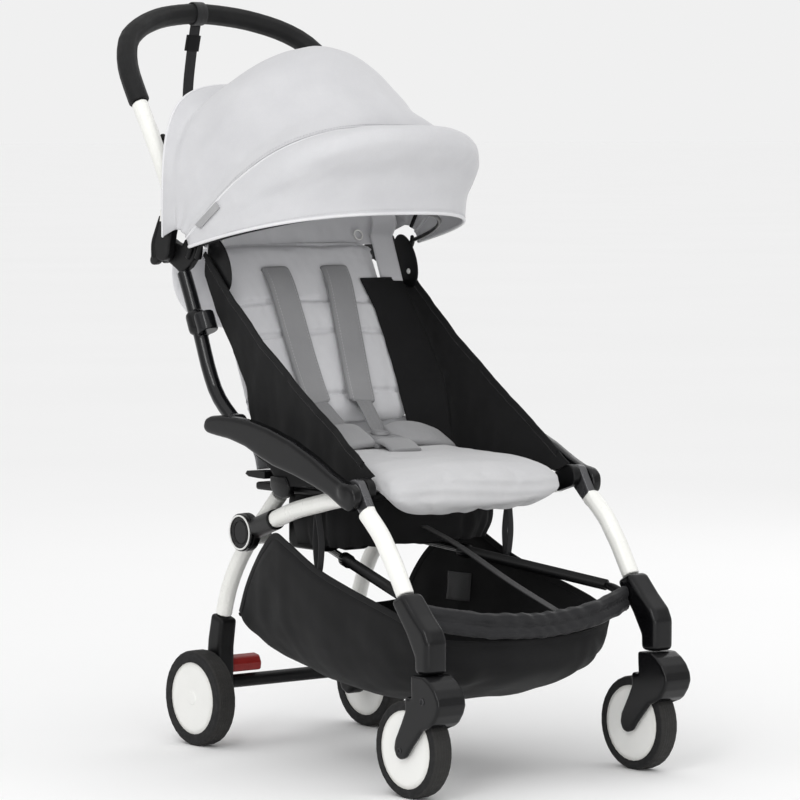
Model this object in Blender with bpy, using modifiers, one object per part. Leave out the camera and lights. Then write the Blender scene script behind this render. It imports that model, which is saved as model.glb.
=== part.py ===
"""Folding compact stroller: chassis, running gear, seat, hood and basket.

Frame: X across (the pusher's left is +X), the stroller faces -Y, +Z up, metres.
The dimensions below are measured from a point on the ground under the seat; the
whole model then stands FRAME_SHIFT further back, so that the origin lies on the
ground under the middle of the outline.
"""
import math

import bmesh
import bpy
import numpy as np
from mathutils import Matrix, Vector

# ------------------------------------------------------------------ driving dimensions
GAP = 0.0004                     # clearance between faces that meet
FRAME_SHIFT = 0.0277             # along Y, puts the origin under the middle of the outline

J = Vector((0.0, -0.252, 0.396))     # front joint: arm, link tube and front leg meet here
H = Vector((0.0, 0.075, 0.311))      # hub: rear leg crosses the link tube here
P = Vector((0.0, 0.030, 0.468))      # back tube's pivot on the rear end of the side arm
KP = Vector((0.0, 0.196, 0.708))     # handlebar's folding pivot
KC = Vector((0.0, 0.150, 0.705))     # hood's pivot

FRONT_X = 0.1965                 # front wheels, forks, swivels and legs
FRONT_AXLE = (-0.3776, 0.0645)   # y, z
FRONT_R = 0.0645
SWIVEL_Y = -0.4140
REAR_X = 0.1535                  # rear wheels
REAR_LEG_X = 0.120
REAR_AXLE = (0.1685, 0.0678)
REAR_R = 0.0678
TYRE_HALF = 0.0150
LINK_R = 0.0125
LEG_R = 0.0125
REAR_LEG_R = 0.0120
BACK_X = 0.1870
BACK_R = 0.0105
HANDLE_R = 0.0120
GRIP_R = 0.0155
ARM_IN, ARM_OUT = 0.2003, 0.2180     # side arm's inner and outer faces
SIDES = {"right": -1, "left": 1}

# ------------------------------------------------------------------ clean start
for old in list(bpy.data.objects):
    bpy.data.objects.remove(old, do_unlink=True)

PARTS = bpy.data.collections.new("stroller_chassis")
CUTTERS = bpy.data.collections.new("cutters")
bpy.context.scene.collection.children.link(PARTS)
bpy.context.scene.collection.children.link(CUTTERS)


def material(name, colour, rough, metal=0.0):
    mat = bpy.data.materials.new(name)
    mat.use_nodes = True
    shader = mat.node_tree.nodes["Principled BSDF"]
    shader.inputs["Base Color"].default_value = (*colour, 1.0)
    shader.inputs["Roughness"].default_value = rough
    shader.inputs["Metallic"].default_value = metal
    return mat


WHITE = material("white_painted_tube", (0.88, 0.88, 0.86), 0.32)
WHITE_PLASTIC = material("white_wheel_plastic", (0.84, 0.84, 0.83), 0.42)
BLACK_TUBE = material("black_anodised_tube", (0.035, 0.035, 0.037), 0.38, 0.4)
BLACK = material("black_moulded_plastic", (0.030, 0.030, 0.032), 0.45)
GLOSS = material("black_gloss_plastic", (0.028, 0.028, 0.030), 0.30)
TYRE = material("tyre_rubber", (0.022, 0.022, 0.023), 0.75)
GRIP = material("grip_leatherette", (0.022, 0.022, 0.023), 0.52)
BLACK_FABRIC = material("black_fabric", (0.014, 0.014, 0.014), 0.92)
GREY_FABRIC = material("pale_grey_fabric", (0.62, 0.62, 0.63), 0.9)
PAD_FABRIC = material("pad_fabric", (0.45, 0.45, 0.46), 0.9)
WEBBING = material("grey_webbing", (0.25, 0.25, 0.25), 0.85)
STRAP = material("black_webbing", (0.016, 0.016, 0.016), 0.85)
RED = material("red_pedal_plastic", (0.42, 0.018, 0.015), 0.45)
STEEL = material("dark_steel", (0.10, 0.10, 0.11), 0.35, 0.9)


# ------------------------------------------------------------------ modelling helpers
def place(obj, mat=None, smooth=True, angle=40):
    if obj.name not in PARTS.objects:
        PARTS.objects.link(obj)
    if mat is not None:
        obj.data.materials.clear()
        obj.data.materials.append(mat)
    if smooth and obj.type == "MESH":
        obj.data.shade_smooth()
        obj.data.set_sharp_from_angle(angle=math.radians(angle))
    return obj


def smooth_path(points, count):
    """Points evenly spaced along a Catmull-Rom curve through the given ones."""
    pts = [Vector(p) for p in points]
    ext = [2 * pts[0] - pts[1]] + pts + [2 * pts[-1] - pts[-2]]
    fine = []
    for i in range(1, len(ext) - 2):
        a, b, c, d = ext[i - 1], ext[i], ext[i + 1], ext[i + 2]
        for k in range(20):
            t = k / 20
            fine.append(0.5 * ((2 * b) + (c - a) * t + (2 * a - 5 * b + 4 * c - d) * t ** 2
                               + (3 * b - a - 3 * c + d) * t ** 3))
    fine.append(pts[-1])
    run = [0.0]
    for i in range(1, len(fine)):
        run.append(run[-1] + (fine[i] - fine[i - 1]).length)
    out, j = [], 0
    for k in range(count):
        want = run[-1] * k / (count - 1)
        while j < len(run) - 2 and run[j + 1] < want:
            j += 1
        span = run[j + 1] - run[j]
        t = 0.0 if span == 0 else (want - run[j]) / span
        out.append(fine[j].lerp(fine[j + 1], min(max(t, 0.0), 1.0)))
    return out


def tube(name, points, radius, mat, res=2, radii=None, closed=False):
    curve = bpy.data.curves.new(name, "CURVE")
    curve.dimensions = "3D"
    curve.bevel_depth = radius
    curve.bevel_resolution = res
    curve.use_fill_caps = True
    curve.twist_mode = "MINIMUM"
    spline = curve.splines.new("POLY")
    spline.points.add(len(points) - 1)
    for i, p in enumerate(points):
        spline.points[i].co = (*p, 1.0)
        spline.points[i].radius = 1.0 if radii is None else radii[i]
    spline.use_cyclic_u = closed
    obj = bpy.data.objects.new(name, curve)
    curve.materials.append(mat)
    PARTS.objects.link(obj)
    return obj


def to_mesh(obj, mat=None, smooth=True, angle=40):
    """The curve as a welded mesh object of the same name."""
    bpy.context.view_layer.update()
    deps = bpy.context.evaluated_depsgraph_get()
    mesh = bpy.data.meshes.new_from_object(obj.evaluated_get(deps))
    bm = bmesh.new()
    bm.from_mesh(mesh)
    bmesh.ops.remove_doubles(bm, verts=bm.verts, dist=1e-6)
    bmesh.ops.recalc_face_normals(bm, faces=bm.faces)
    bm.to_mesh(mesh)
    bm.free()
    name, matrix = obj.name, obj.matrix_world.copy()
    keep = mat or (obj.data.materials[0] if obj.data.materials else None)
    bpy.data.objects.remove(obj, do_unlink=True)
    new = bpy.data.objects.new(name, mesh)
    new.matrix_world = matrix
    return place(new, keep, smooth, angle)


SIDE_VIEW = Matrix(((0, 0, 1, 0), (1, 0, 0, 0), (0, 1, 0, 0), (0, 0, 0, 1)))   # u, v, w -> y, z, x


def bevel(obj, width, segments=2, angle=35):
    mod = obj.modifiers.new("rounded_edges", "BEVEL")
    mod.width = width
    mod.segments = segments
    mod.limit_method = "ANGLE"
    mod.angle_limit = math.radians(angle)
    mod.use_clamp_overlap = True
    return obj


def outline_x(name, points, x0, x1, mat, round_to=0.0, segments=2, closed_smooth=0):
    """A flat outline in the YZ plane, extruded from x0 to x1."""
    if closed_smooth:
        ring = [Vector((p[0], p[1], 0)) for p in points]
        ring = smooth_path(ring + [ring[0]], closed_smooth + 1)[:-1]
        points = [(p.x, p.y) for p in ring]
    curve = bpy.data.curves.new(name, "CURVE")
    curve.dimensions = "2D"
    curve.fill_mode = "BOTH"
    curve.extrude = abs(x1 - x0) / 2
    spline = curve.splines.new("POLY")
    spline.points.add(len(points) - 1)
    for i, p in enumerate(points):
        spline.points[i].co = (p[0], p[1], 0.0, 1.0)
    spline.use_cyclic_u = True
    obj = bpy.data.objects.new(name, curve)
    obj.matrix_world = Matrix.Translation(((x0 + x1) / 2, 0, 0)) @ SIDE_VIEW
    curve.materials.append(mat)
    PARTS.objects.link(obj)
    obj = to_mesh(obj, mat)
    if round_to:
        bevel(obj, round_to, segments)
    return obj


def disc_x(name, centre, x0, x1, radius, mat, sides=24, edge=0.0, segments=2):
    """A cylinder along X."""
    mesh = bpy.data.meshes.new(name)
    bm = bmesh.new()
    bmesh.ops.create_cone(bm, cap_ends=True, cap_tris=False, segments=sides,
                          radius1=radius, radius2=radius, depth=abs(x1 - x0))
    bm.to_mesh(mesh)
    bm.free()
    obj = bpy.data.objects.new(name, mesh)
    obj.matrix_world = (Matrix.Translation(((x0 + x1) / 2, centre[0], centre[1]))
                        @ Matrix.Rotation(math.pi / 2, 4, "Y"))
    place(obj, mat)
    if edge:
        bevel(obj, edge, segments)
    return obj


def lathe_x(name, profile, centre, steps, mat, closed=False, flip=1, phase=0.0):
    """A turned shape about an X axis. profile: (axial, radius), axial along +X times flip."""
    mesh = bpy.data.meshes.new(name)
    verts = [(r, 0.0, a) for a, r in profile]
    edges = [(i, i + 1) for i in range(len(verts) - 1)]
    if closed:
        edges.append((len(verts) - 1, 0))
    mesh.from_pydata(verts, edges, [])
    obj = bpy.data.objects.new(name, mesh)
    turn = Matrix.Rotation(math.pi / 2 * flip, 4, "Y") @ Matrix.Rotation(phase, 4, "Z")
    obj.matrix_world = Matrix.Translation(centre) @ turn
    PARTS.objects.link(obj)
    mesh.materials.append(mat)
    mod = obj.modifiers.new("turned", "SCREW")
    mod.axis = "Z"
    mod.angle = 2 * math.pi
    mod.steps = steps
    mod.render_steps = steps
    mod.use_merge_vertices = True
    mod.merge_threshold = 0.0001
    mod.use_smooth_shade = True
    return obj


def block(name, centre, size, mat, round_to=0.0, segments=2, rot_x=0.0, rot_z=0.0):
    mesh = bpy.data.meshes.new(name)
    bm = bmesh.new()
    bmesh.ops.create_cube(bm, size=1.0)
    bmesh.ops.scale(bm, vec=Vector(size), verts=bm.verts)
    bm.to_mesh(mesh)
    bm.free()
    obj = bpy.data.objects.new(name, mesh)
    obj.matrix_world = (Matrix.Translation(centre) @ Matrix.Rotation(rot_z, 4, "Z")
                        @ Matrix.Rotation(rot_x, 4, "X"))
    place(obj, mat)
    if round_to:
        bevel(obj, round_to, segments)
    return obj


def boolean(obj, other, op):
    mod = obj.modifiers.new(op.lower(), "BOOLEAN")
    mod.operation = op
    mod.solver = "EXACT"
    mod.object = other
    for coll in list(other.users_collection):
        coll.objects.unlink(other)
    CUTTERS.objects.link(other)
    other.hide_render = True
    other.display_type = "WIRE"
    return obj


def bar_between(name, a, b, radius, mat, sides=12, radius2=None):
    """A straight round bar from a to b."""
    a, b = Vector(a), Vector(b)
    mesh = bpy.data.meshes.new(name)
    bm = bmesh.new()
    bmesh.ops.create_cone(bm, cap_ends=True, cap_tris=False, segments=sides,
                          radius1=radius, radius2=radius2 or radius, depth=(b - a).length)
    bm.to_mesh(mesh)
    bm.free()
    obj = bpy.data.objects.new(name, mesh)
    obj.matrix_world = Matrix.Translation((a + b) / 2) @ (b - a).to_track_quat("Z", "Y").to_matrix().to_4x4()
    return place(obj, mat)


def sheet(name, rows, thickness, mat, inward=-1):
    """An open grid of points turned into a shell of even thickness."""
    mesh = bpy.data.meshes.new(name)
    bm = bmesh.new()
    grid = [[bm.verts.new(p) for p in row] for row in rows]
    for i in range(len(grid) - 1):
        for j in range(len(grid[0]) - 1):
            bm.faces.new((grid[i][j], grid[i][j + 1], grid[i + 1][j + 1], grid[i + 1][j]))
    bmesh.ops.remove_doubles(bm, verts=bm.verts, dist=1e-5)
    bmesh.ops.dissolve_degenerate(bm, dist=1e-5, edges=bm.edges)
    bmesh.ops.recalc_face_normals(bm, faces=bm.faces)
    bm.to_mesh(mesh)
    bm.free()
    obj = bpy.data.objects.new(name, mesh)
    place(obj, mat)
    mod = obj.modifiers.new("cloth_thickness", "SOLIDIFY")
    mod.thickness = thickness
    mod.offset = inward
    mod.use_even_offset = False
    return obj


def side(x, s):
    return s * x


# ------------------------------------------------------------------ link tube, hub and side arm
LINK = [(0.1487, -0.0085, 0.3360), (0.1610, -0.0715, 0.3539), (0.1765, -0.1490, 0.3697),
        (0.1865, -0.1960, 0.3790), (0.1868, -0.2225, 0.3835)]
ARM = [(0.0710, 0.4660), (0.0660, 0.4750), (0.0530, 0.4795), (0.0340, 0.4808), (-0.0070, 0.4803),
       (-0.0400, 0.4775), (-0.0810, 0.4700), (-0.1330, 0.4560), (-0.1820, 0.4370), (-0.2190, 0.4190),
       (-0.2440, 0.4090), (-0.2640, 0.4060), (-0.2740, 0.3970), (-0.2755, 0.3850), (-0.2720, 0.3740),
       (-0.2600, 0.3680), (-0.2450, 0.3730), (-0.2160, 0.3870), (-0.1790, 0.3985), (-0.1380, 0.4090),
       (-0.0900, 0.4190), (-0.0560, 0.4300), (-0.0270, 0.4410), (0.0110, 0.4490), (0.0420, 0.4520),
       (0.0620, 0.4545), (0.0700, 0.4590)]

for tag, s in SIDES.items():
    # link tube with the flat knuckle that the front leg pivots on
    link = to_mesh(tube("link_tube_" + tag, smooth_path([(s * x, y, z) for x, y, z in LINK], 12),
                        LINK_R, WHITE, res=4))
    ang = math.atan2(0.3835 - J.z, -0.2225 - J.y)
    ring = []
    for k in range(15):
        t = ang + math.pi / 2 + math.pi * k / 14
        ring.append((J.y + 0.0158 * math.cos(t), J.z + 0.0158 * math.sin(t)))
    for t, r in ((-0.30, 0.040), (0.30, 0.040)):
        ring.append((J.y + r * math.cos(ang + t), J.z + r * math.sin(ang + t)))
    knuckle = outline_x("front_knuckle_" + tag, ring, side(0.1725, s), side(0.1857, s), WHITE)
    boolean(link, knuckle, "UNION")

    # hub barrel with the sleeve that grips the link tube
    hub = disc_x("hub_" + tag, (H.y, H.z), side(0.1335, s), side(0.1460, s), 0.0272, BLACK, 28)
    end = Vector((s * LINK[0][0], LINK[0][1], LINK[0][2]))
    away = (Vector((s * LINK[1][0], LINK[1][1], LINK[1][2])) - end).normalized()
    sleeve = bar_between("hub_sleeve_" + tag, end - away * 0.072, end - away * 0.0006, 0.0148, BLACK, 20)
    boolean(hub, sleeve, "UNION")
    # the sleeve stops short of the rear leg's face, and leaves a round seat for the cap
    trim = block("hub_trim_" + tag, (s * (0.1334 - 0.02), H.y, H.z), (0.04, 0.09, 0.09), BLACK)
    boolean(hub, trim, "DIFFERENCE")
    seat = disc_x("hub_cap_seat_" + tag, (H.y, H.z), side(0.1450, s), side(0.1650, s), 0.0278, BLACK, 28)
    boolean(hub, seat, "DIFFERENCE")

    # round cap: dished face with a raised rim
    lathe_x("hub_cap_" + tag,
            [(0.0050, 0.0), (0.0050, 0.0215), (0.0062, 0.0225), (0.0060, 0.0258), (0.0045, 0.0268),
             (0.0004, 0.0268), (0.0004, 0.0)][::1],
            (s * 0.1451, H.y, H.z), 28, BLACK, flip=s)

    # side arm, a tapering moulded blade
    arm = outline_x("side_arm_" + tag, ARM, side(ARM_IN, s), side(ARM_OUT, s), GLOSS, 0.0045, 2)
    # pivot stud of the arm, on the outside at the front joint
    stud = disc_x("arm_stud_" + tag, (J.y + 0.001, J.z - 0.001), side(0.2150, s), side(0.2203, s), 0.0090, GLOSS, 20, 0.0015)
    boolean(arm, stud, "UNION")

# ------------------------------------------------------------------ folding mechanism under the seat
MECH_X = 0.126
mech = block("fold_mechanism", (0, -0.0450, 0.3330), (2 * MECH_X, 0.090, 0.078), BLACK, 0.010, 2)
arch = block("mechanism_arch", (0, -0.0450, 0.2950), (0.094, 0.140, 0.076), BLACK, 0.008, 2)
boolean(mech, arch, "DIFFERENCE")
# shallow pan that carries the seat cushion between the link tubes
block("seat_frame", (0, -0.0915, 0.3810), (0.316, 0.239, 0.0110), BLACK, 0.0035, 2)

STRUT_A = Vector((0.0750, -0.0100, 0.2990))   # rear end of the strut's rod, under the mechanism
STRUT_B = Vector((0.1690, -0.3400, 0.2520))   # front end of the strut's sleeve, beside the front leg
STRUT_SLIDE = 0.078
for tag, s in SIDES.items():
    a = Vector((s * STRUT_A.x, STRUT_A.y, STRUT_A.z))
    b = Vector((s * STRUT_B.x, STRUT_B.y, STRUT_B.z))
    d = (b - a).normalized()
    bar_between("strut_rod_" + tag, a, a + d * 0.235, 0.0050, BLACK_TUBE, 12)
    sleeve = bar_between("strut_sleeve_" + tag, a + d * 0.104, b, 0.0078, BLACK, 16)
    ring = bar_between("strut_ring_" + tag, a + d * 0.0985, a + d * 0.114, 0.0098, BLACK, 16)
    boolean(sleeve, ring, "UNION")
    bore = bar_between("strut_bore_" + tag, a + d * 0.05, a + d * 0.325, 0.0055, BLACK, 16)
    boolean(sleeve, bore, "DIFFERENCE")
    # round groove in the mechanism's underside, wide enough for the sleeve to slide into
    notch = bar_between("strut_notch_" + tag, a - d * 0.06, a + d * 0.16, 0.0106, BLACK, 16)
    boolean(mech, notch, "DIFFERENCE")

# the pull tab that releases the fold, at the seat's rear corner
tab = outline_x("release_tab", [(0.0140, 0.3905), (0.0300, 0.3905), (0.0520, 0.3915), (0.0600, 0.3950),
                                (0.0560, 0.3995), (0.0360, 0.4010), (0.0140, 0.4005)],
                -0.1520, -0.1230, BLACK, 0.0015, 2)

# ------------------------------------------------------------------ front legs, housings and crossbar
LEG = [(-0.2762, 0.3675), (-0.2956, 0.3515), (-0.3105, 0.3375), (-0.3230, 0.3210), (-0.3345, 0.3060),
       (-0.3465, 0.2870), (-0.3602, 0.2650)]
HOUSING = [(-0.3735, 0.2712), (-0.4010, 0.2430), (-0.4215, 0.2250), (-0.4290, 0.2100), (-0.4290, 0.1672),
           (-0.3990, 0.1672), (-0.3985, 0.1880), (-0.3800, 0.2180), (-0.3475, 0.2575)]
for tag, s in SIDES.items():
    leg = to_mesh(tube("front_leg_" + tag, smooth_path([(s * FRONT_X, y, z) for y, z in LEG], 12),
                       LEG_R, WHITE, res=4))
    ang = math.atan2(LEG[0][1] - J.z, LEG[0][0] - J.y)
    ring = []
    for k in range(13):
        t = ang + math.pi / 2 + math.pi * k / 12
        ring.append((J.y + 0.0150 * math.cos(t), J.z + 0.0150 * math.sin(t)))
    for t, r in ((-0.17, 0.048), (0.17, 0.048)):
        ring.append((J.y + r * math.cos(ang + t), J.z + r * math.sin(ang + t)))
    eye = outline_x("leg_eye_" + tag, ring, side(0.1863, s), side(0.1996, s), WHITE)
    boolean(leg, eye, "UNION")
    outline_x("caster_housing_" + tag, HOUSING, side(FRONT_X - 0.018, s), side(FRONT_X + 0.018, s),
              GLOSS, 0.0062, 3)


def crossbar_path(dy, dz, end, count=15):
    out, inner = [], end - 0.006
    for k in range(count):
        x = -inner + 2 * inner * k / (count - 1)
        t = 1 - (x / inner) ** 2
        out.append((x, -0.3700 - 0.0310 * t + dy, 0.2440 - 0.0200 * t + dz))
    return [(-end, *out[0][1:])] + out + [(end, *out[-1][1:])]


BAR_END = FRONT_X - 0.018 - GAP
bar = to_mesh(tube("front_crossbar", crossbar_path(0, 0, BAR_END), 0.0095, BLACK, res=2))
lower = to_mesh(tube("front_crossbar_lip", crossbar_path(-0.003, -0.0165, BAR_END - 0.0004), 0.0100, BLACK, res=2))
boolean(bar, lower, "UNION")

# ------------------------------------------------------------------ caster forks
FORK = [(-0.3995, 0.1662), (-0.4280, 0.1662), (-0.4395, 0.1600), (-0.4500, 0.1510), (-0.4570, 0.1400),
        (-0.4590, 0.1290), (-0.4545, 0.1170), (-0.4460, 0.1055), (-0.4380, 0.1000), (-0.4230, 0.0945),
        (-0.4110, 0.0815), (-0.3975, 0.0670), (-0.3890, 0.0555), (-0.3776, 0.0518), (-0.3680, 0.0555),
        (-0.3635, 0.0650), (-0.3660, 0.0780), (-0.3790, 0.1010), (-0.3875, 0.1180), (-0.3865, 0.1320),
        (-0.3900, 0.1380), (-0.3960, 0.1350), (-0.4010, 0.1370), (-0.4000, 0.1480)]
for tag, s in SIDES.items():
    fork = outline_x("caster_fork_" + tag, FORK, side(FRONT_X - 0.0236, s), side(FRONT_X + 0.0236, s), GLOSS,
                     0.0045, 2)
    well = disc_x("wheel_well_" + tag, FRONT_AXLE, FRONT_X * s - 0.0174, FRONT_X * s + 0.0174, 0.0690, GLOSS, 36)
    boolean(fork, well, "DIFFERENCE")


# ------------------------------------------------------------------ wheels
WHEEL_STEPS = 32


def tyre(name, x, y, z, radius, rim, half):
    """Solid tyre with a flat tread; one flat of the turned tread lies on the ground."""
    crest = radius / math.cos(math.pi / WHEEL_STEPS)
    prof = [(half, rim), (half, radius - 0.0085)]
    for k in range(4):
        t = math.pi / 2 * k / 3
        prof.append((half - 0.0060 + 0.0060 * math.cos(t), crest - 0.0050 + 0.0050 * math.sin(t)))
    mirror = [(-a, r) for a, r in prof[::-1]]
    return lathe_x(name, prof + mirror, (x, y, z), WHEEL_STEPS, TYRE, closed=True, flip=1,
                   phase=math.pi / WHEEL_STEPS)


def wheel_disc(name, x, y, z, rim, half, boss):
    r = rim - 0.0004
    prof = [(boss, 0.0), (boss, 0.0080), (half - 0.0008, 0.0098), (half - 0.0002, r - 0.0050), (half - 0.0016, r)]
    mirror = [(-a, q) for a, q in prof[::-1]]
    return lathe_x(name, prof + mirror, (x, y, z), WHEEL_STEPS, WHITE_PLASTIC, flip=1, phase=math.pi / WHEEL_STEPS)


for tag, s in SIDES.items():
    fy, fz = FRONT_AXLE
    tyre("front_tyre_" + tag, s * FRONT_X, fy, fz, FRONT_R, 0.0525, TYRE_HALF)
    wheel_disc("front_wheel_" + tag, s * FRONT_X, fy, fz, 0.0525, TYRE_HALF, 0.0170)
    ry, rz = REAR_AXLE
    tyre("rear_tyre_" + tag, s * REAR_X, ry, rz, REAR_R, 0.0518, TYRE_HALF)
    wheel_disc("rear_wheel_" + tag, s * REAR_X, ry, rz, 0.0518, TYRE_HALF, 0.0152)

# ------------------------------------------------------------------ rear legs
REAR = [(0.0220, 0.3660), (0.0430, 0.3455), (0.0650, 0.3245), (0.0870, 0.3030), (0.1082, 0.2793),
        (0.1230, 0.2600), (0.1345, 0.2420), (0.1444, 0.2229), (0.1520, 0.2030), (0.1572, 0.1862)]
LOWER = [(0.1425, 0.1800), (0.1705, 0.1880), (0.1795, 0.1500), (0.1840, 0.1050), (0.1868, 0.0720),
         (0.1820, 0.0560), (0.1685, 0.0495), (0.1560, 0.0545), (0.1500, 0.0640), (0.1500, 0.1000),
         (0.1490, 0.1400)]
for tag, s in SIDES.items():
    leg = to_mesh(tube("rear_leg_" + tag, smooth_path([(s * REAR_LEG_X, y, z) for y, z in REAR], 13),
                       REAR_LEG_R, WHITE, res=3))
    boss = disc_x("rear_leg_boss_" + tag, (H.y, H.z), side(0.1075, s), side(0.1326, s), 0.0185, WHITE, 24)
    boolean(leg, boss, "UNION")
    outline_x("rear_lower_leg_" + tag, LOWER, side(REAR_LEG_X - 0.0140, s), side(REAR_LEG_X + 0.0140, s),
              BLACK, 0.0050, 2)
AXLE_END = REAR_LEG_X - 0.0140 - GAP
axle = disc_x("rear_crossbar", (0.1685, 0.0865), -AXLE_END, AXLE_END, 0.0098, BLACK, 16)

# red brake pedal, hinged above the rear crossbar beside the right wheel
PEDAL = [(0.1590, 0.1010), (0.1780, 0.0985), (0.2020, 0.1010), (0.2200, 0.1060), (0.2240, 0.1110),
         (0.2180, 0.1150), (0.1980, 0.1180), (0.1740, 0.1240), (0.1620, 0.1215), (0.1570, 0.1120)]
outline_x("brake_pedal", PEDAL, -0.1040, -0.0530, RED, 0.0025, 2)

# ------------------------------------------------------------------ back tubes, clamps and handlebar
BACK = [(0.0300, 0.4680), (0.0480, 0.4810), (0.0660, 0.4950), (0.0815, 0.5120), (0.0965, 0.5385),
        (0.1075, 0.5640), (0.1180, 0.5900), (0.1330, 0.6240), (0.1460, 0.6520), (0.1575, 0.6750)]
for tag, s in SIDES.items():
    back = to_mesh(tube("back_tube_" + tag, smooth_path([(s * BACK_X, y, z) for y, z in BACK], 15),
                        BACK_R, BLACK_TUBE, res=3))
    boss = disc_x("back_boss_" + tag, (P.y, P.z), side(0.1775, s), side(0.1970, s), 0.0140, BLACK_TUBE, 20)
    boolean(back, boss, "UNION")
    ferrule = bar_between("tube_ferrule_" + tag, (s * BACK_X, 0.0985, 0.5930), (s * BACK_X, 0.1110, 0.6180),
                          0.0150, BLACK, 16)
    boolean(back, ferrule, "UNION")
    CLAMP = [(0.1486, 0.6812), (0.1676, 0.6717), (0.1820, 0.6800), (0.1990, 0.6880), (0.2120, 0.6850),
             (0.2180, 0.6920), (0.2140, 0.7030), (0.2080, 0.7160), (0.1960, 0.7230), (0.1800, 0.7160),
             (0.1640, 0.7120), (0.1560, 0.7220), (0.1500, 0.7120), (0.1400, 0.7080), (0.1320, 0.7180),
             (0.1300, 0.7050), (0.1370, 0.6920)]
    outline_x("hinge_clamp_" + tag, CLAMP, side(0.1742, s), side(0.1864, s), BLACK, 0.0020, 2)

HANDLE = [(0.1800, 0.7480), (0.1860, 0.7740), (0.1941, 0.7956), (0.2110, 0.8270), (0.2292, 0.8558), (0.2660, 0.9120)]
for tag, s in SIDES.items():
    pole = to_mesh(tube("handle_tube_" + tag, smooth_path([(s * BACK_X, y, z) for y, z in HANDLE], 10),
                        HANDLE_R, WHITE, res=4))
    SOCKET = [(0.1700, 0.7600), (0.1680, 0.7400), (0.1730, 0.7260)]
    for k in range(11):
        t = math.radians(175 + 175 * k / 10)
        SOCKET.append((KP.y + 0.0190 * math.cos(t), KP.z + 0.0190 * math.sin(t)))
    SOCKET += [(0.2130, 0.7180), (0.2060, 0.7320), (0.2000, 0.7480), (0.1990, 0.7620), (0.1830, 0.7680)]
    # the white tube stands in the folding socket, which pivots beside the clamp
    socket = outline_x("handle_socket_" + tag, SOCKET, side(0.1870, s), side(0.1993, s), WHITE)
    boolean(pole, socket, "UNION")

GRIP_PATH = [(0.1865, 0.2666, 0.9130), (0.1860, 0.2800, 0.9330), (0.1815, 0.3010, 0.9590), (0.1720, 0.3195, 0.9825),
             (0.1560, 0.3375, 1.0035), (0.1310, 0.3525, 1.0190), (0.1000, 0.3665, 1.0305), (0.0600, 0.3795, 1.0395),
             (0.0, 0.3870, 1.0445)]
full = [(-x, y, z) for x, y, z in GRIP_PATH] + [(x, y, z) for x, y, z in GRIP_PATH[::-1][1:]]
tube("handle_grip", smooth_path(full, 37), GRIP_R, GRIP, res=3)

# fold buttons on the inner faces of the handle tubes
for tag, s in SIDES.items():
    block("handle_button_" + tag, (s * (0.1750 - 0.0040), 0.2290, 0.8550), (0.0070, 0.0130, 0.0260), BLACK, 0.0020, 2,
          rot_x=math.radians(-32))

# ------------------------------------------------------------------ hood
HOOD_HALF = 0.2040
# ribs about the hood's pivot: angle up from straight ahead, reach, fullness
RIBS = [(100, 0.2300, 2.9), (94, 0.2500, 2.5), (88, 0.2720, 2.15), (81, 0.2890, 1.95), (74, 0.2945, 1.88),
        (66, 0.2895, 1.85), (58, 0.2838, 1.85), (50, 0.2812, 1.90), (44, 0.2795, 2.3), (40.5, 0.2778, 2.75),
        (38.4, 0.2765, 3.1)]
VISOR = [(37.9, 0.2775, 3.0), (35, 0.306, 2.8), (31.5, 0.331, 2.6), (28.5, 0.328, 2.6), (26, 0.309, 2.6),
         (23, 0.281, 2.6), (19, 0.264, 2.6), (15.5, 0.255, 2.6), (12.5, 0.250, 2.6)]
RIB_POINTS = 19


def rib(phi, reach, power, half=HOOD_HALF, count=RIB_POINTS, start=0.030):
    """A full bow over the seat, in the plane at angle phi up from straight ahead."""
    out = []
    for k in range(count):
        t = math.pi * k / (count - 1)
        c, sn = math.cos(t), max(math.sin(t), 0.0)
        x = half * math.copysign(abs(c) ** (2 / power), c)
        r = start + (reach - start) * sn ** (2 / power)
        out.append((x, KC.y - r * math.cos(math.radians(phi)), KC.z + r * math.sin(math.radians(phi))))
    return out


def rear_rib(height, bulge, power, half=HOOD_HALF):
    """The hood's rear edge: straight up past the handle tubes, then bulging back over the middle."""
    out = []
    for k in range(RIB_POINTS):
        t = math.pi * k / (RIB_POINTS - 1)
        c, sn = math.cos(t), max(math.sin(t), 0.0)
        x = half * math.copysign(abs(c) ** (2 / power), c)
        out.append((x, 0.1850 + bulge * (1 - (x / half) ** 2), 0.7240 + (height - 0.7240) * sn ** (2 / power)))
    return out


sheet("canopy_hood", [rear_rib(0.9385, 0.0435, 4.1)] + [rib(*r) for r in RIBS], 0.0020, GREY_FABRIC)
sheet("canopy_visor", [rib(*r) for r in VISOR], 0.0020, GREY_FABRIC)
tube("canopy_bow_middle", rib(52, 0.2735, 1.78, 0.1960, 21, 0.036), 0.0030, BLACK, res=1)
tube("canopy_bow_front", rib(14.0, 0.2400, 1.85, 0.1885, 21, 0.036), 0.0030, BLACK, res=1)

# ------------------------------------------------------------------ seat, back rest and harness
SEAT_N = Vector((0, 0.095, 0.995))


def cushion(name, rows, mat, levels=1):
    """A crowned pad from a coarse cage of closed rings, with one subdivision."""
    mesh = bpy.data.meshes.new(name)
    bm = bmesh.new()
    rings = [[bm.verts.new(p) for p in row] for row in rows]
    n = len(rings[0])
    for i in range(len(rings) - 1):
        for j in range(n):
            bm.faces.new((rings[i][j], rings[i][(j + 1) % n], rings[i + 1][(j + 1) % n], rings[i + 1][j]))
    bm.faces.new(rings[0][::-1])
    bm.faces.new(rings[-1])
    bmesh.ops.recalc_face_normals(bm, faces=bm.faces)
    bm.to_mesh(mesh)
    bm.free()
    obj = bpy.data.objects.new(name, mesh)
    place(obj, mat)
    mod = obj.modifiers.new("soft", "SUBSURF")
    mod.levels = levels
    mod.render_levels = levels
    return obj


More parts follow.
